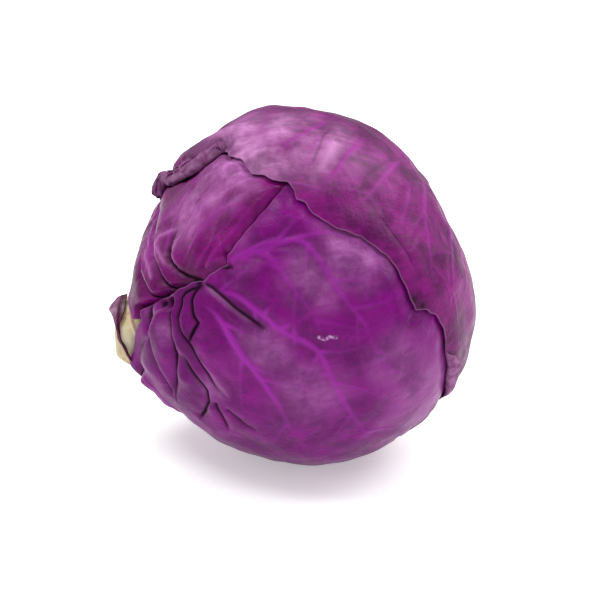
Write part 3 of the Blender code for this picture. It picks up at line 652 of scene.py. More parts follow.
# %% Hollows, lobes and sharp crests
def shaped(leaf, ways, relief, dark):
    """The relief with its hollows, lobes and crests, the shade painted into it, and where the crests get a painted
    highlight.
    """
    for place, drop, width, shade in leaf.pits:
        away = np.linalg.norm(ways - seen(place), axis=1) * ROUND_RADIUS_MM
        hole = np.exp(-(away / width) ** 2)
        relief -= drop * hole
        # painted shade in the hollow
        dark = np.maximum(dark, shade * hole)
    for place, rise, width in leaf.mounds:
        away = np.linalg.norm(ways - seen(place), axis=1) * ROUND_RADIUS_MM
        relief += rise * np.exp(-(away / width) ** 2)
    # where the crests are, for the painted highlight along them
    crest = np.zeros(len(ways))
    for line, rise, width in leaf.crests:
        away, along, _ = nearest(ways, line)
        fade = smooth_step(0.0, 0.15, along) * (1.0 - smooth_step(0.8, 1.0, along))
        sharp = fade * np.exp(-(away / width) ** 1.5)
        relief += rise * sharp
        crest = np.maximum(crest, sharp)
    return relief, dark, crest


# %% Rims
PRESSED_SHARE = 0.7          # how much of its relief a leaf loses where its rim lies on the next leaf
PRESSED_MM = 5.0
PRESSED_FROM_DEG = (18.0, 40.0)      # beside the stem the rims stay free
FLUTTER_MM = 0.35


def at_the_rim(leaf, ways, relief):
    """The relief pressed at the rim, with the stretches where the rim stands off and its small flutter."""
    from_stem = np.degrees(np.arccos(np.clip(ways @ STEM, -1.0, 1.0)))
    turn, away = leaf.polar(ways)
    inside = leaf.rim_deg(turn) - away
    from_rim = np.abs(inside) * DEGREE_MM
    pressed = PRESSED_SHARE * smooth_step(*PRESSED_FROM_DEG, from_stem) * np.exp(-from_rim / PRESSED_MM)
    relief = np.maximum(relief, DEEPEST_MM) * (1.0 - pressed)
    for turns, lift, width in leaf.lifts:
        relief += lift * window(turn, turns) * (1.0 - smooth_step(0.0, width, inside))
    for turns, rise, first, full, still, last in leaf.bulges:
        hump = smooth_step(first, full, inside) * (1.0 - smooth_step(still, last, inside))
        relief += rise * window(turn, turns) * hump
    return relief + FLUTTER_MM * (1.0 + waves(ways, 14.0, 71 + leaf.layer)) * np.exp(-from_rim / 3.0)


# %% The relief of a leaf over its layer
BUMP_MM = 0.45
VALLEY_MM = 0.9              # how far the blade sinks towards a strong rib
VALLEY_WIDTH_MM = 5.5


def relief_mm(leaf, ways):
    """Height of the leaf over its layer in mm, the shade painted into its folds, where its crests get a painted
    highlight, and where it shows.
    """
    height = swollen_mm(ways) + leaf.extra_mm
    height += BUMP_MM * waves(ways, 26.0, 11 + leaf.layer) + 0.5 * BUMP_MM * waves(ways, 12.0, 31 + leaf.layer)
    for line, strength in leaf.ribs:
        away, along, _ = nearest(ways, line)
        fade = strength * (1.0 - smooth_step(0.6, 1.0, along))
        height -= VALLEY_MM * fade * np.exp(-(away / VALLEY_WIDTH_MM) ** 2)
    relief, dark, crest = shaped(leaf, ways, *folded(leaf, ways, height))
    relief = at_the_rim(leaf, ways, relief)
    shown = np.ones(len(ways))
    for cover in LEAVES:
        if cover.layer < leaf.layer:
            shown *= smooth_step(*leaf.relief_from_deg, -cover.inside_deg(ways))
    return relief * shown, dark, crest, shown


for leaf in LEAVES:
    print(leaf.name, "stands", round(float(relief_mm(leaf, leaf.centre[None])[0][0]), 1), "mm over its layer")

# %% How deep each leaf lies
RIM_STEP_SHARE = 0.32        # of a layer: how deep a leaf lies just under the rim that covers it
UNDER_RIM_DEG = 6.0          # over these degrees it goes down to its full depth
PAST_RIM_DEG = 7.0           # and over these it comes up again outside the rim


def depth_mm(leaf, ways):
    """How deep a leaf lies: one layer under each leaf that covers it, and rising where none does."""
    depth = np.zeros(len(ways))
    for cover in LEAVES:
        if cover.layer < leaf.layer:
            inside = cover.inside_deg(ways)
            under = RIM_STEP_SHARE + (1.0 - RIM_STEP_SHARE) * smooth_step(0.0, UNDER_RIM_DEG, inside)
            covered = under * (1.0 - smooth_step(0.0, PAST_RIM_DEG, -inside))
            depth = np.maximum(depth, covered * (depth_mm(cover, ways) + LAYER_PITCH_MM))
    return depth


print("leaf_back lies", round(float(depth_mm(leaf_back, -leaf_back.centre[None])[0]), 1), "mm deep in front")


# %% [markdown]
# ## Making a leaf's sheet
# A leaf could be sculpted, or draped by a cloth simulation, but its place between its neighbours is
# known, so it is mapped there: a square grid is rounded to a disc, and the disc is laid over the head
# round the leaf's middle. Most rows of the grid make the blade, on an even curve inside the rim; the last
# rows make the margin and follow every tear. The grid can be drawn closer round one place, as it is on
# the pleats. A second sheet under it gives the leaf its thickness, and one strip closes the rim. What
# later steps need to know is kept on the points: the painted shade of the folds, the painted highlight of
# the crests, distance to the rim, and the wax with its painted sheen.

# %% The disc from a square grid
def focused(values, strength, at):
    """Moves grid lines closer together round one place, with the ends kept."""
    return values - strength / np.pi * (np.sin(np.pi * (values - at)) - math.sin(math.pi * at))


def disc(cells, focus):
    """Round disc from a square grid: each point's angle in degrees and share of the radius, and its number."""
    steps = np.linspace(-1.0, 1.0, cells + 1)
    x = focused(steps, focus[0], focus[1])[None, :].repeat(cells + 1, 0).ravel()
    y = focused(steps, focus[2], focus[3])[:, None].repeat(cells + 1, 1).ravel()
    across, along = x * np.sqrt(1.0 - 0.5 * y * y), y * np.sqrt(1.0 - 0.5 * x * x)
    index = np.arange((cells + 1) ** 2).reshape(cells + 1, cells + 1)
    return np.degrees(np.arctan2(along, across)), np.hypot(across, along), index


def grid_faces(index):
    """Faces of a grid of point numbers, and the numbers round its edge in order."""
    faces = np.stack((index[:-1, :-1], index[:-1, 1:], index[1:, 1:], index[1:, :-1]), -1).reshape(-1, 4)
    ring = np.concatenate((index[0, :-1], index[:-1, -1], index[-1, :0:-1], index[:0:-1, 0]))
    return faces.tolist(), ring


print("a leaf's grid has", leaf_top.cells + 1, "rows of points each way")

# %% Two sheets made one closed piece
def shell(name, outer, inner, index, every, marks):
    """A closed thin piece from an outer and an inner sheet; the inner one keeps every second point or all."""
    kept = index[::every, ::every]
    faces, ring = grid_faces(index)
    inner_faces, inner_ring = grid_faces(np.arange(kept.size).reshape(kept.shape) + len(outer))
    faces += [face[::-1] for face in inner_faces]
    for n in range(len(inner_ring)):
        outside = [int(ring[(every * n + k) % len(ring)]) for k in range(every, -1, -1)]
        faces.append(outside + [int(inner_ring[n]), int(inner_ring[(n + 1) % len(inner_ring)])])
    kept = kept.ravel()
    mesh = bpy.data.meshes.new(name)
    mesh.from_pydata(np.concatenate((outer, inner[kept])).tolist(), [], faces)
    marks = dict(marks, under=np.zeros(len(outer)))
    for mark, values in marks.items():
        kind, field = ("FLOAT_VECTOR", "vector") if values.ndim == 2 else ("FLOAT", "value")
        both = np.concatenate((values, values[kept] if mark != "under" else np.ones(len(kept))))
        mesh.attributes.new(mark, kind, "POINT").data.foreach_set(field, np.ascontiguousarray(both).ravel())
    mesh.shade_smooth()
    return put(name, mesh)


# %% Wax left on a leaf, and painted sheen
WORN_SHARE = 0.55
WORN_MM = 4.5        # the wax is thin this far beside a rib, so the flesh shows vivid there
# The spots hold real wax, and also painted sheen where the lamps light the leaf most, as on the upper left of the
# top leaf and the petals of the front leaf
WAX_AND_SHEEN_SPOTS = {   # place in mm, whole and gone at this many degrees from it, how much is left there
    "leaf_top": (((-24, 66), 8.0, 30.0, 1.0), ((2, 66), 6.0, 24.0, 0.85), ((6, 54), 1.0, 13.0, 0.6),
                 ((73, -6), 2.0, 14.0, 0.15), ((30, 60), 2.0, 14.0, 0.12)),
    "leaf_left": (((-40, 48), 5.0, 20.0, 0.95), ((-54, 32), 3.0, 16.0, 1.0), ((-70, 20), 3.0, 15.0, 0.35)),
    "leaf_front": (((22, 17), 4.0, 19.0, 1.0), ((55, -50), 4.0, 24.0, 0.6), ((0, -50), 4.0, 18.0, 0.5),
                   ((-30, 14), 1.0, 10.0, 0.6), ((-66, -22), 1.0, 6.0, 0.9), ((-75, -14), 1.0, 6.0, 0.8),
                   ((-44, -48), 2.0, 8.0, 0.6), ((40, -35), 3.0, 14.0, 0.5), ((4, 4), 4.0, 16.0, 0.95),
                   ((-20, -30), 3.0, 14.0, 0.7)),
    "leaf_back": (((0, 70), 10.0, 80.0, 0.8),),
}


def wax_and_sheen_on(leaf, ways):
    """How much pale wax colour a point gets: real wax and painted sheen, most on the spots, little beside the ribs.
    """
    bloom = np.zeros(len(ways))
    for spot, near, far, left in WAX_AND_SHEEN_SPOTS[leaf.name]:
        from_spot = np.degrees(np.arccos(np.clip(ways @ seen(spot)[0], -1.0, 1.0)))
        bloom = np.maximum(bloom, left * (1.0 - smooth_step(near, far, from_spot)))
    for line, strength in leaf.ribs:
        from_rib, along, _ = nearest(ways, line)
        rubbed = WORN_SHARE * min(1.0, 1.3 * strength) * (1.0 - smooth_step(0.7, 1.0, along))
        bloom *= 1.0 - rubbed * np.exp(-(from_rib / WORN_MM) ** 2)
    return bloom


for name, spots in WAX_AND_SHEEN_SPOTS.items():
    print(name, "keeps its wax on", len(spots), "spots")

# %% The rolled or folded margin
CRUMPLE_MM = 0.75
WRINKLE_MM = 0.2


def crumpled_mm(leaf, turn, away, ways, past, radius):
    """Uneven skin of a roll: coarse dents and fine wrinkles, weaker on a tight fold than on a wide roll."""
    wrinkles = WRINKLE_MM * np.sin(2.4 * past + 1.5 * waves(ways, 12.0, 95))
    dents = CRUMPLE_MM * waves(leaf.direction(turn, away), 9.0, 91)
    wide = 0.15 + 0.85 * smooth_step(0.9, 2.1, radius)
    return smooth_step(0.0, 3.0, past) * wide * (dents + wrinkles)


print("dents of", CRUMPLE_MM, "mm and wrinkles of", WRINKLE_MM, "mm")

# %% Points of a leaf's sheet and the marks on them
LEAF_THICKNESS_MM = 1.1
RIM_THICKNESS_MM = 0.5
CREASE_ROOM_MM = 0.8         # the under side keeps this much clearer of the outer one in sharp creases
MARGIN_MM = 14.0
SCRATCH_MM = 0.8


def row_places(leaf, turn, share, end):
    """How far from the leaf's middle each point lies: the blade's even rows, then the margin's own rows."""
    blade = 1.0 - leaf.margin_rows
    even = sum(leaf.rim_deg(turn + shift, torn=False) for shift in range(-9, 10, 3)) / 7.0
    inner = even - MARGIN_MM / DEGREE_MM
    in_margin = inner + (share - blade) / leaf.margin_rows * (end - inner)
    return np.where(share < blade, share / blade * inner, in_margin)


def streak_places(ways):
    """A place for streaks that run out from the stem: even round its axis, drawn long away from it."""
    across = unit(np.cross(STEM, (0.0, 0.0, 1.0)))
    upright = np.cross(STEM, across)
    turned = np.arctan2(ways @ upright, ways @ across)
    from_stem = np.arccos(np.clip(ways @ STEM, -1.0, 1.0))
    return np.column_stack((np.cos(turned), np.sin(turned), 0.10 * from_stem))


def leaf_sheet(leaf):
    """The closed sheet of a leaf in its place, with what the rib tree and the finish read on its points."""
    turn, share, index = disc(leaf.cells, leaf.focus)
    start, end, radius, limit = leaf.margin(turn)
    away = row_places(leaf, turn, share, end)
    held = np.minimum(away, start)
    past = (away - held) * DEGREE_MM
    from_rim = (end - away) * DEGREE_MM
    ways = leaf.direction(turn, held)
    outwards, upwards = leaf.direction(turn, held + 90.0) @ FRONT_TO_WORLD, ways @ FRONT_TO_WORLD
    relief, dark, crest, shown = relief_mm(leaf, ways)
    depth = depth_mm(leaf, ways)
    thick = RIM_THICKNESS_MM + (LEAF_THICKNESS_MM - RIM_THICKNESS_MM) * smooth_step(0.0, 6.0, from_rim)
    thick = thick + CREASE_ROOM_MM * dark
    curl = radius + crumpled_mm(leaf, turn, away, ways, past, radius)
    bend = np.minimum(past / curl, np.radians(limit))
    straight = past - bend * curl
    sheets = []
    for into_blade in (0.0, thick):
        along = (curl + into_blade) * np.sin(bend) + straight * np.cos(bend)
        off = (curl + into_blade) * (1.0 - np.cos(bend)) + straight * np.sin(bend)
        points = place_mm(ways, depth + into_blade, relief)
        sheets.append((points + along[:, None] * outwards + off[:, None] * upwards) * MM)
    # painted shade in the gap under the narrow folded flap, where the lamps don't reach
    flap_gap_shade = 0.8 * (radius < 1.0) * (past > 0.0) * np.exp(-(past - 1.0) ** 2)
    dark = np.maximum(dark, flap_gap_shade)
    scratch = np.zeros(len(ways))
    if leaf.name == "leaf_front":
        scratch = np.exp(-(nearest(ways, SCRATCH)[0] / SCRATCH_MM) ** 2)
    # Of these marks, the shade of the folds and the highlight of the crests are painted light, and the wax carries
    # painted sheen too
    marks = {"scratch": scratch, "bare": sheets[0], "lift": upwards * (past <= 0.0)[:, None],
             "crease": dark, "crest": crest, "from_rim": from_rim, "bloom": wax_and_sheen_on(leaf, ways),
             "shown": (1.0 - dark) * shown, "streak": streak_places(ways)}
    return shell(leaf.name + "_fine", sheets[0], sheets[1], index, 2, marks)


print("leaves", LEAF_THICKNESS_MM, "mm thick, and", RIM_THICKNESS_MM, "mm at the rim")

# %% [markdown]
# ## Raised ribs with Geometry Nodes
# The ribs follow paths over the leaf, so one node tree raises them: for each point of the sheet it finds
# the nearest rib line, reads how strong that rib is there, and lifts the point by a soft ridge. The same
# number is kept as an attribute, so the colour of a vein sits exactly on its ridge.

# %% Rib lines as a mesh of edges
RIB_STEP_MM = 2.0
FORK_MM = 8.0        # over this distance a branch takes on the strength of the rib that it leaves
SMOOTHINGS = 6


def rib_lines(leaf):
    """One object of edges for all ribs of a leaf, with the rib's strength on each point."""
    points, edges, strengths = [], [], []
    for line, strength in leaf.ribs + leaf.veins:
        stops = lengths_mm(line)
        t = np.linspace(0.0, stops[-1], max(3, int(stops[-1] / RIB_STEP_MM)))
        even = unit(np.column_stack([np.interp(t, stops, line[:, axis]) for axis in range(3)]))
        for _ in range(SMOOTHINGS):
            even[1:-1] = unit(0.25 * even[:-2] + 0.5 * even[1:-1] + 0.25 * even[2:])
        relief = relief_mm(leaf, even)[0]
        first = len(points)
        points += (place_mm(even, depth_mm(leaf, even), relief) * MM).tolist()
        edges += [(first + n, first + n + 1) for n in range(len(even) - 1)]
        part = t / stops[-1]
        fade = (1.0 - smooth_step(0.75, 1.0, part)) * (1.0 if strength < 0.5 else smooth_step(-0.05, 0.3, part))
        strengths += (strength * (1.0 - 0.7 * part) * fade).tolist()
    gaps = np.linalg.norm(np.array(points)[:, None] - np.array(points)[None], axis=2) / MM
    strengths = (np.array(strengths)[None] * np.clip(1.0 - gaps / FORK_MM, 0.0, 1.0)).max(1)
    mesh = bpy.data.meshes.new(leaf.name + "_rib_lines")
    mesh.from_pydata(points, edges, [])
    mesh.attributes.new("strength", "FLOAT", "POINT").data.foreach_set("value", strengths)
    return put(mesh.name, mesh)


print("the longest rib is", round(max(lengths_mm(line)[-1] for leaf in LEAVES for line, _ in leaf.ribs)), "mm long")

# %% Starting, ending and using a tree
def new_tree(name, inputs):
    """An empty geometry tree with these named inputs, and what comes in by them."""
    tree = bpy.data.node_groups.new(name, "GeometryNodeTree")
    for way in ("INPUT", "OUTPUT"):
        tree.interface.new_socket("Geometry", in_out=way, socket_type="NodeSocketGeometry")
    for title, kind in inputs.items():
        tree.interface.new_socket(title, in_out="INPUT", socket_type="NodeSocket" + kind)
    return tree, add(tree, "NodeGroupInput").node.outputs


def end_tree(tree, geometry, finish):
    """Makes copies real and gives the result its finish."""
    real = add(tree, "GeometryNodeRealizeInstances", geometry)
    finished = add(tree, "GeometryNodeSetMaterial", real, finish, to=("Geometry", "Material"))
    add(tree, "NodeGroupOutput", finished)
    return tree


def use_tree(piece, tree, values):
    """Puts the piece through a node tree and leaves it as the plain mesh that comes out."""
    modifier = piece.modifiers.new(tree.name, "NODES")
    modifier.node_group = tree
    sockets = {item.name: item.identifier for item in tree.interface.items_tree if item.in_out == "INPUT"}
    for name, value in values.items():
        modifier[sockets[name]] = value
    graph = bpy.context.evaluated_depsgraph_get()
    evaluated = piece.evaluated_get(graph)
    result = bpy.data.meshes.new_from_object(evaluated, preserve_all_data_layers=True, depsgraph=graph)
    piece.modifiers.remove(modifier)
    old = piece.data
    piece.data = result
    bpy.data.meshes.remove(old)
    return piece


print("node trees that are there so far:", len(bpy.data.node_groups))

# %% The tree that raises the ribs
RIB_WIDTH_MM = 1.3
RIB_HEIGHT_MM = 0.8
RIB_WIDTH_LEAST = 0.45       # a weak vein is this share of the width wide, and a strong one wider


def rib_tree():
    """Finds the nearest rib line, reads its strength and lifts each point by a soft ridge."""
    tree, given = new_tree("raised ribs", {"Rib lines": "Object", "Rib width": "Float", "Rib height": "Float",
                                           "Finish": "Material"})
    read = "GeometryNodeInputNamedAttribute"
    bare, lift = (add(tree, read, mark, data_type="FLOAT_VECTOR") for mark in ("bare", "lift"))
    shown, kept = (add(tree, read, mark, data_type="FLOAT") for mark in ("shown", "strength"))
    lines = add(tree, "GeometryNodeObjectInfo", given["Rib lines"], out="Geometry", transform_space="ORIGINAL")
    distance = add(tree, "GeometryNodeProximity", lines, bare, to=(0, "Sample Position"), out="Distance",
                   target_element="EDGES")
    index = add(tree, "GeometryNodeSampleNearest", lines, bare, to=("Geometry", "Sample Position"), domain="POINT")
    strength = add(tree, "GeometryNodeSampleIndex", lines, kept, index, to=("Geometry", "Value", "Index"),
                   data_type="FLOAT", domain="POINT")
    strength = add(tree, "GeometryNodeBlurAttribute", strength, 3, to=("Value", "Iterations"), data_type="FLOAT")
    spread = add(tree, "ShaderNodeMath", strength, RIB_WIDTH_LEAST, operation="ADD")
    width = add(tree, "times", spread, given["Rib width"])
    ratio = add(tree, "ShaderNodeMath", distance, width, operation="DIVIDE")
    square = add(tree, "times", ratio, ratio)
    ridge = add(tree, "ShaderNodeMath", add(tree, "times", square, -1.0), operation="EXPONENT")
    vein = add(tree, "times", ridge, strength)
    rise = add(tree, "times", add(tree, "times", vein, given["Rib height"]), shown)
    offset = add(tree, "ShaderNodeVectorMath", lift, rise, to=(0, "Scale"), operation="SCALE")
    moved = add(tree, "GeometryNodeSetPosition", given["Geometry"], offset, to=("Geometry", "Offset"))
    marked = add(tree, "GeometryNodeStoreNamedAttribute", moved, "vein", vein, to=("Geometry", "Name", "Value"),
                 data_type="FLOAT", domain="POINT")
    return end_tree(tree, marked, given["Finish"])


RIB_TREE = rib_tree()
print(len(RIB_TREE.nodes), "nodes raise the ribs")

# %% [markdown]
# ## The finish of a red cabbage leaf
# The flesh is a dark purple, and the folds are painted nearly black for the shade that falls in them. The
# veins hold less of the dark dye and shine magenta. On top lies a thin wax, the bloom: where it is whole it
# looks like pale lavender dust. Its colour is also laid on as painted sheen where the lamps light the leaf
# most, and as a painted highlight along sharp crests. The wax is rubbed thin beside the ribs, where hands
# touch first, and a small scrape on the front leaf has healed pale. The rim is painted paler for the light
# that shines through its thin edge. The colours could be painted on an unwrapped leaf; here they are laid
# over each other from the marks that the sheet carries, broken up by noise at the size of real blotches,
# so they stay on their ribs and folds.

# %% Sizes of the leaf's patterns
BLOTCH_MM = 16.0
MOTTLE_MM = 5.0
CELL_MM = 5.0        # meshes of the finest vein network
GRAIN_MM = 1.6       # grain of the wax, drawn coarser than the real one so that it shows
STREAKS_ROUND = 26.0
# The first colour is painted shade for the folds, the second a paler rim painted for the light that shines through
# the thin edge, the third a real healed scrape
FOLD_SHADE_COLOUR, RIM_TRANSLUCENCE_COLOUR, SCRAPED_COLOUR = "#1C0216", "#9C6B95", "#D0A4D2"
UNDER_COLOURS = ("#6E3564", "#96648F")


def per_metre(size_mm):
    """The scale of a pattern whose features are this big."""
    return 1.0 / (size_mm * MM)


print("blotches of", BLOTCH_MM, "mm are", round(per_metre(BLOTCH_MM), 1), "to the metre")

# %% What the leaf's patterns read
def leaf_patterns(tree):
    """The marks of the sheet and the noises of a leaf, by name."""
    marks = ("vein", "crease", "crest", "from_rim", "bloom", "under", "scratch")
    found = {mark: add(tree, "ShaderNodeAttribute", out="Fac", attribute_name=mark) for mark in marks}
    in_head = add(tree, "ShaderNodeTexCoord", out="Object")
    along_leaf = add(tree, "ShaderNodeAttribute", out="Vector", attribute_name="streak")
    found["blotch"] = add(tree, "noise", in_head, per_metre(BLOTCH_MM), 4.0, 0.6)
    found["mottle"] = add(tree, "noise", in_head, per_metre(MOTTLE_MM), 5.0, 0.65)
    found["grain"] = add(tree, "noise", in_head, per_metre(GRAIN_MM), 3.0)
    found["streak"] = add(tree, "noise", along_leaf, STREAKS_ROUND, 3.0, 0.6)
    bent = add(tree, "ShaderNodeMix", 0.008, in_head, found["mottle"].node.outputs["Color"],
               to=("Factor", "A", "B"), data_type="VECTOR")
    cells = add(tree, "ShaderNodeTexVoronoi", bent, per_metre(CELL_MM), to=("Vector", "Scale"), out="Distance",
                feature="DISTANCE_TO_EDGE")
    found["threads"] = add(tree, "range", cells, 0.0, 0.16, 1.0, 0.0)
    return found


# %% Leaf material
def leaf_material(name, flesh, dark, vein, wax, wax_share, streak_share, roughness):
    """Layers of colour from the flesh up: streaks, fine net, wax with painted sheen, veins, painted crest
    highlights, painted fold shade, painted light through the rim, scrape, under side.
    """
    material, tree, shader = new_material(name, {"IOR": 1.45, "Specular IOR Level": 0.13})
    read = leaf_patterns(tree)

    def share(of, *limits):
        return add(tree, "range", read[of], *limits)

    def product(*parts):
        total = parts[0]
        for part in parts[1:]:
            total = add(tree, "times", total, part)
        return total

    # where shade is painted into creases, hollows and step edges; the same mask makes them rough
    fold = share("crease", 0.1, 0.9)
    # real wax together with painted sheen
    wax_and_sheen_cover = product(share("mottle", 0.35, 0.65, 0.6, 1.0), share("blotch", 0.36, 0.6, 0.55, 1.0),
                    share("streak", 0.3, 0.6, 1.0, 0.75), read["bloom"], wax_share)
    scraped = product(share("scratch", 0.2, 0.9), share("grain", 0.42, 0.58, 0.1, 0.75))
    under = add(tree, "paint", share("mottle", 0.35, 0.65), *UNDER_COLOURS)
    colour = add(tree, "paint", share("blotch", 0.36, 0.64), dark, flesh)
    for cover, over in ((share("streak", 0.42, 0.68, 0.0, streak_share), dark),
                        (share("mottle", 0.35, 0.65, 0.0, 0.3), dark),
                        (product(read["threads"], 0.08), vein),
                        (wax_and_sheen_cover, wax),
                        (share("vein", 0.0, 0.85, 0.0, 0.78), vein),
                        # painted highlight along the crests, in the wax colour
                        (product(read["crest"], 0.45), wax),
                        # painted shade in the folds
                        (fold, FOLD_SHADE_COLOUR),
                        # the rim painted paler for the light that shines through its thin edge
                        (share("from_rim", 0.1, 0.8, 0.35, 0.0), RIM_TRANSLUCENCE_COLOUR),
                        (scraped, SCRAPED_COLOUR),
                        (product(read["under"], 0.85), under)):
        colour = add(tree, "paint", cover, colour, over)
    tree.links.new(colour, shader["Base Color"])
    gloss = share("mottle", 0.2, 0.8, roughness - 0.06, roughness + 0.12)
    tree.links.new(add(tree, "ShaderNodeMath", gloss, fold, operation="MAXIMUM"), shader["Roughness"])
    height = read["mottle"]
    for layer, part in (("threads", 0.2), ("streak", 0.5), ("grain", 0.2)):
        height = add(tree, "times plus", read[layer], part, height)
    tree.links.new(add(tree, "bump", height, 0.5, 0.4 * MM), shader["Normal"])
    return material


# %% The four leaves' finishes: flesh, dark flesh, vein, wax (also used for painted sheen and crest highlights), and the shares of wax and streaks, and roughness
FINISHES = {
    "leaf_top": leaf_material("waxy outer cabbage leaf", "#780A6A", "#4C0443", "#8F1E88", "#C084B8",
                              0.95, 0.45, 0.42),
    "leaf_front": leaf_material("waxy front cabbage leaf", "#760670", "#580754", "#96229A", "#A465A0",
                                0.95, 0.12, 0.32),
    "leaf_left": leaf_material("waxy left cabbage leaf", "#78066A", "#500442", "#8E2A8C", "#C47CC0",
                               0.95, 0.4, 0.30),
    "leaf_back": leaf_material("waxy back cabbage leaf", "#6F0664", "#4C043F", "#921A8C", "#96548E",
                               0.6, 0.3, 0.38),
}
for finish in FINISHES.values():
    print(finish.name, "has", len(finish.node_tree.nodes), "nodes")

# %% Build the leaves
for leaf in LEAVES:
    piece = leaf_sheet(leaf)
    lines = rib_lines(leaf)
    use_tree(piece, RIB_TREE, {"Rib lines": lines, "Rib width": RIB_WIDTH_MM * MM,
                               "Rib height": RIB_HEIGHT_MM * MM, "Finish": FINISHES[leaf.name]})
    bpy.data.objects.remove(lines, do_unlink=True)
    piece.data.shade_smooth()
    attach(piece, "root")
    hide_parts(leaf.name)
    print(piece.name, len(piece.data.polygons), "faces")

# %% [markdown]
# ## The inner head
# Under the outer leaves the young ones sit so tight that they make one smooth ball, seen only in the gaps
# between the rims. Its form is right as it is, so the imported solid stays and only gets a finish: paler
# purple, with fine veins that run from the stem. The pattern is turned so that they run that way.

# %% Finish of the inner head
def inner_material():
    """Two purples in clouds, with fine veins along the axis of the stem."""
    material, tree, shader = new_material("tight inner cabbage leaves",
                                          {"Roughness": 0.4, "Specular IOR Level": 0.3})
    in_head = add(tree, "ShaderNodeTexCoord", out="Object")
    axis = STEM @ FRONT_TO_WORLD
    lean = math.atan2(-axis[2], -axis[0])
    along = add(tree, "ShaderNodeMapping", in_head, (0.0, lean, 0.0), (0.15, 1.0, 1.0),
                to=("Vector", "Rotation", "Scale"))
    veins = add(tree, "noise", along, per_metre(4.0), 3.0)
    cloud = add(tree, "noise", in_head, per_metre(14.0), 3.0)
    colour = add(tree, "paint", add(tree, "range", cloud, 0.35, 0.65), "#6E1468", "#8A3A86")
    colour = add(tree, "paint", add(tree, "range", veins, 0.55, 0.7, 0.0, 0.6), colour, "#A04C9E")
    tree.links.new(colour, shader["Base Color"])
    tree.links.new(add(tree, "bump", veins, 0.4, 0.5 * MM), shader["Normal"])
    return material


inner_finish = inner_material()
for slot in bpy.data.objects["inner_head"].material_slots:
    slot.material = inner_finish
print("inner head finished with", inner_finish.name)

# %% [markdown]
# ## The cut stump
# The stump is the woody end of the stem, cut through aslant with a knife. It is pale cream, with thin pink
# scars where leaves were broken off, brown dry marks, and on the cut a ring of bundles, the ends of the
# tubes that fed the leaves. It could be turned like a vase; here its surface is laid out by angle and
# height instead, so that it can sink to one side and be uneven. The bundles repeat round a circle, so a
# node tree sets them.

# %% The stump's form
STEM_ROOT_MM, STEM_CUT_MM = 56.0, 89.0
STEM_ROOT_RADIUS_MM, STEM_RADIUS_MM = 13.5, 16.4
STEM_SLANT_MM, STEM_DROP_MM = 3.5, 2.8
STEM_BEVEL_MM = 4.5
SCAR_HEIGHT_MM = 79.0


def stem_matrix():
    """Turns +Z to the stem's axis, with +Y up and +X towards the viewer, about the head's centre."""
    axis = STEM @ FRONT_TO_WORLD
    viewer = unit(OUT - (OUT @ axis) * axis)
    return np.column_stack((viewer, np.cross(axis, viewer), axis))


def stem_drop_mm(height):
    """How far the stem has sunk to its lower side at a height along it."""
    return STEM_DROP_MM * smooth_step(74.0, 84.0, height)


def to_world(points_mm):
    """Points in the stem's own axes, in mm, brought to their place in metres."""
    return (points_mm @ stem_matrix().T + CENTRE) * MM


def lathe(name, rows, marks):
    """A closed piece from rows of points that each go once round, with one point at both ends."""
    sides = len(rows[0])
    points = [rows[0].mean(0)] + [point for row in rows for point in row] + [rows[-1].mean(0)]
    ring = np.arange(sides)
    after = np.roll(ring, -1)
    faces = [(0, 1 + b, 1 + a) for a, b in zip(ring, after)]
    for n in range(len(rows) - 1):
        top, low = 1 + n * sides, 1 + (n + 1) * sides
        faces += [(top + a, top + b, low + b, low + a) for a, b in zip(ring, after)]
    end, last = len(points) - 1, 1 + (len(rows) - 1) * sides
    faces += [(end, last + a, last + b) for a, b in zip(ring, after)]
    mesh = bpy.data.meshes.new(name)
    mesh.from_pydata(to_world(np.array(points)).tolist(), [], faces)
    for mark, values in marks.items():
        both_ends = np.concatenate((values[:1], values, values[-1:]))
        mesh.attributes.new(mark, "FLOAT", "POINT").data.foreach_set("value", both_ends)
    mesh.shade_smooth()
    return put(name, mesh)


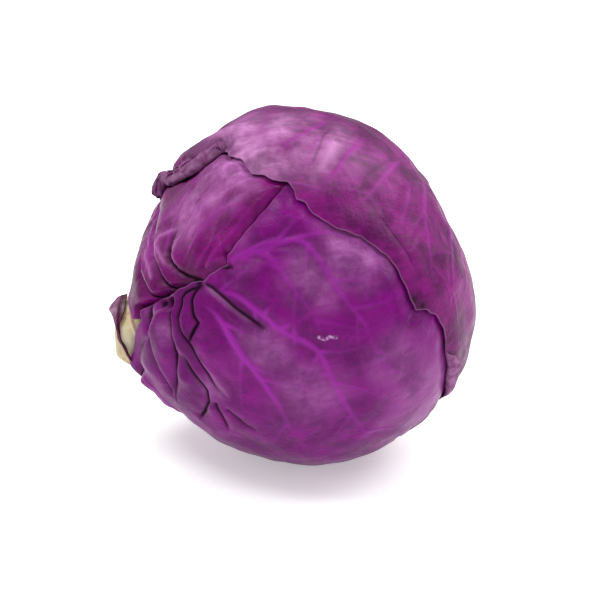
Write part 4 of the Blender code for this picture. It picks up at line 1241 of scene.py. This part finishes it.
# %% The stump from the cut down to its root
STEM_SIDES = 160
CUT_ROWS, EDGE_ROWS, SIDE_ROWS, ROOT_ROWS = 26, 10, 48, 6
turn = np.linspace(0.0, 2.0 * math.pi, STEM_SIDES, endpoint=False)
rounding = np.linspace(0.1, 1.5, EDGE_ROWS)          # the edge of the cut is rounded by a quarter turn
heights = np.concatenate((np.full(CUT_ROWS, STEM_CUT_MM), STEM_CUT_MM - 3.0 * (1.0 - np.cos(rounding)),
                          np.linspace(85.6, 71.0, SIDE_ROWS), np.linspace(70.0, STEM_ROOT_MM, ROOT_ROWS)))
shares = np.concatenate((np.linspace(0.02, 0.9, CUT_ROWS), 0.9 + 0.1 * np.sin(rounding),
                         np.ones(SIDE_ROWS + ROOT_ROWS)))
rows, scar_marks, cut_marks = [], [], []
for height, share in zip(heights, shares):
    widening = (STEM_RADIUS_MM - STEM_ROOT_RADIUS_MM) * smooth_step(71.0, 77.0, height)
    outside = smooth_step(72.0, 79.0, height)
    wander = 1.2 * np.sin(turn + 0.6) + 0.5 * np.sin(3 * turn)
    scar = np.exp(-((height - SCAR_HEIGHT_MM - wander) / 0.7) ** 2)
    lumps = 0.35 * np.sin(5 * turn + height / 3.0) + 0.25 * np.sin(9 * turn - height / 2.0)
    stretch = 1.0 + outside * (0.035 * np.cos(2 * turn + 0.5) + 0.02 * np.sin(3 * turn))
    radius = share * (STEM_ROOT_RADIUS_MM + widening) * stretch
    radius = radius + outside * (share > 0.95) * (0.6 * scar + lumps)
    x, y = radius * np.cos(turn), radius * np.sin(turn)
    slanted = height - STEM_SLANT_MM * smooth_step(78.0, 86.0, height) * y / STEM_RADIUS_MM
    slanted -= STEM_BEVEL_MM * smooth_step(78.0, 89.0, height) * smooth_step(0.55, 1.0, -y / STEM_RADIUS_MM)
    if share < 0.9:          # marks that the knife left
        slanted = slanted + 0.12 * np.sin(9.0 * x / STEM_RADIUS_MM + 2.0 * np.sin(y / 4.0))
    rows.append(np.column_stack((x, y - stem_drop_mm(height), slanted)))
    scar_marks.append(scar * (share > 0.95))
    cut_marks.append(np.full(STEM_SIDES, share * (height > 85.7)))
stump = lathe("stem_fine", rows, {"scar": np.concatenate(scar_marks), "cut": np.concatenate(cut_marks)})
print("stump", len(stump.data.polygons), "faces")

# %% Stump material
def stump_material():
    """Pale cream flesh with brown dry marks, pink scars and a brown edge round the cut."""
    material, tree, shader = new_material("cut cabbage stem", {"Roughness": 0.55})
    in_head = add(tree, "ShaderNodeTexCoord", out="Object")
    scar, cut = (add(tree, "ShaderNodeAttribute", out="Fac", attribute_name=mark) for mark in ("scar", "cut"))
    broad = add(tree, "noise", in_head, per_metre(9.0), 3.0)
    fine = add(tree, "noise", in_head, per_metre(2.5), 5.0)
    dry_patches = add(tree, "range", broad, 0.46, 0.53, 0.6, 0.0)
    dried = add(tree, "times", add(tree, "range", fine, 0.56, 0.66), dry_patches)
    colour = add(tree, "paint", add(tree, "range", broad, 0.35, 0.65), "#CFBC90", "#DAD1B2")
    for cover, over in ((dried, "#A98240"), (add(tree, "range", scar, 0.4, 1.0, 0.0, 0.6), "#B4628A"),
                        (add(tree, "range", cut, 0.86, 0.99, 0.0, 0.35), "#9A7A3E")):
        colour = add(tree, "paint", cover, colour, over)
    tree.links.new(colour, shader["Base Color"])
    tree.links.new(add(tree, "bump", fine, 0.5, 0.5 * MM), shader["Normal"])
    return material


STUMP_FINISH = stump_material()
print(STUMP_FINISH.name, "has", len(STUMP_FINISH.node_tree.nodes), "nodes")

# %% Ring of bundles on the cut, with Geometry Nodes
def bundle_tree():
    """Flattened beads of uneven size, one on each point of a circle that is turned into the cut."""
    tree, given = new_tree("ring of bundles", {"Count": "Int", "Ring radius": "Float", "Bundle size": "Float",
                                               "Middle": "Vector", "Turn": "Vector", "Finish": "Material"})
    ring = add(tree, "GeometryNodeMeshCircle", given["Count"], given["Ring radius"], to=("Vertices", "Radius"))
    bead = add(tree, "GeometryNodeMeshIcoSphere", given["Bundle size"], 2, to=("Radius", "Subdivisions"))
    size = add(tree, "FunctionNodeRandomValue", 0.7, 1.25, 4, to=(2, 3, "Seed"), data_type="FLOAT")
    flat = add(tree, "ShaderNodeCombineXYZ", size, size, 0.3)
    beads = add(tree, "GeometryNodeInstanceOnPoints", ring, bead, flat, to=("Points", "Instance", "Scale"))
    placed = add(tree, "GeometryNodeTransform", beads, given["Middle"], given["Turn"],
                 to=("Geometry", "Translation", "Rotation"))
    both = add(tree, "GeometryNodeJoinGeometry", placed)
    tree.links.new(given["Geometry"], both.node.inputs[0])
    return end_tree(tree, both, given["Finish"])


cut_middle = to_world(np.array((0.0, -STEM_DROP_MM, STEM_CUT_MM + 0.05)))
slant = math.atan2(STEM_SLANT_MM, STEM_RADIUS_MM)
cut_turn = Matrix(stem_matrix().tolist()) @ Matrix.Rotation(-slant, 3, "X")
use_tree(stump, bundle_tree(), {"Count": 26, "Ring radius": 8.6 * MM, "Bundle size": 0.9 * MM,
                                "Middle": cut_middle.tolist(), "Turn": list(cut_turn.to_euler()),
                                "Finish": STUMP_FINISH})
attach(stump, "root")
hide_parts("stem")
print("stump with its bundles", len(stump.data.polygons), "faces")

# %% [markdown]
# ## The base of a lost leaf
# One outer leaf was broken off, and the thick base of its stalk is still on the stump: a strip that goes
# slantwise round it and stands out at its upper end, where it tore. It is a thin curved sheet laid along
# the stump, mauve on its skin and dark maroon where it tore.

# %% Leaf base
STUB_TURNS_DEG = (-62.0, 60.0)       # where it starts and ends round the stump
STUB_HEIGHTS_MM = (84.0, 85.4, 86.6, 86.8, 85.2, 83.0)
STUB_WIDTHS_MM = (1.1, 1.2, 1.3, 1.9, 6.8, 3.8)
STUB_FLARE_MM = (0.0, 0.0, 0.2, 0.6, 1.0, 0.2)
STUB_THICKNESS_MM = 1.3
STUB_CELLS = (120, 24)
u, v = np.meshgrid(np.linspace(0.0, 1.0, STUB_CELLS[0] + 1), np.linspace(-1.0, 1.0, STUB_CELLS[1] + 1))
u, v = u.ravel(), v.ravel()
stops = np.linspace(0.0, 1.0, len(STUB_HEIGHTS_MM))
stub_turn = np.radians(STUB_TURNS_DEG[0] + u * (STUB_TURNS_DEG[1] - STUB_TURNS_DEG[0]))
stub_width = np.interp(u, stops, STUB_WIDTHS_MM) + 0.8 * smooth_step(0.5, 0.9, u)
ragged = 0.3 * np.sin(17.0 * u) + 0.15 * np.sin(31.0 * u + 1.0)
stub_height = np.interp(u, stops, STUB_HEIGHTS_MM) + 0.5 * stub_width * v + ragged * np.abs(v) ** 4
flare = np.interp(u, stops, STUB_FLARE_MM) * smooth_step(-0.6, 1.0, v)
sheets = []
for thickness in (STUB_THICKNESS_MM, 0.0):
    radius = STEM_RADIUS_MM * 1.06 + 0.3 + flare + thickness * (1.0 - 0.4 * np.abs(v))
    x, y = radius * np.cos(stub_turn), radius * np.sin(stub_turn) - stem_drop_mm(stub_height)
    sheets.append(to_world(np.column_stack((x, y, stub_height))))
index = np.arange(len(u)).reshape(STUB_CELLS[1] + 1, STUB_CELLS[0] + 1).T
torn = 1.0 - smooth_step(-0.2, 0.3, v) * smooth_step(0.45, 0.75, u)
stub = shell("leaf_stub_fine", sheets[0], sheets[1], index, 1, {"torn": torn})
print("leaf base", len(stub.data.polygons), "faces")

# %% Leaf base material
def leaf_base_material():
    """Mauve skin, and dark maroon flesh where the leaf tore off."""
    material, tree, shader = new_material("torn cabbage leaf base", {"Roughness": 0.4})
    torn_here = add(tree, "ShaderNodeAttribute", out="Fac", attribute_name="torn")
    fine = add(tree, "noise", add(tree, "ShaderNodeTexCoord", out="Object"), per_metre(2.0), 4.0)
    skin = add(tree, "paint", add(tree, "range", fine, 0.35, 0.65), "#6E2F5E", "#8E5280")
    flesh = add(tree, "paint", add(tree, "range", fine, 0.4, 0.6), "#3C0420", "#5E1240")
    tree.links.new(add(tree, "paint", torn_here, skin, flesh), shader["Base Color"])
    tree.links.new(add(tree, "bump", fine, 0.5, 0.4 * MM), shader["Normal"])
    return material


stub.data.materials.append(leaf_base_material())
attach(stub, "root")
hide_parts("leaf_stub")
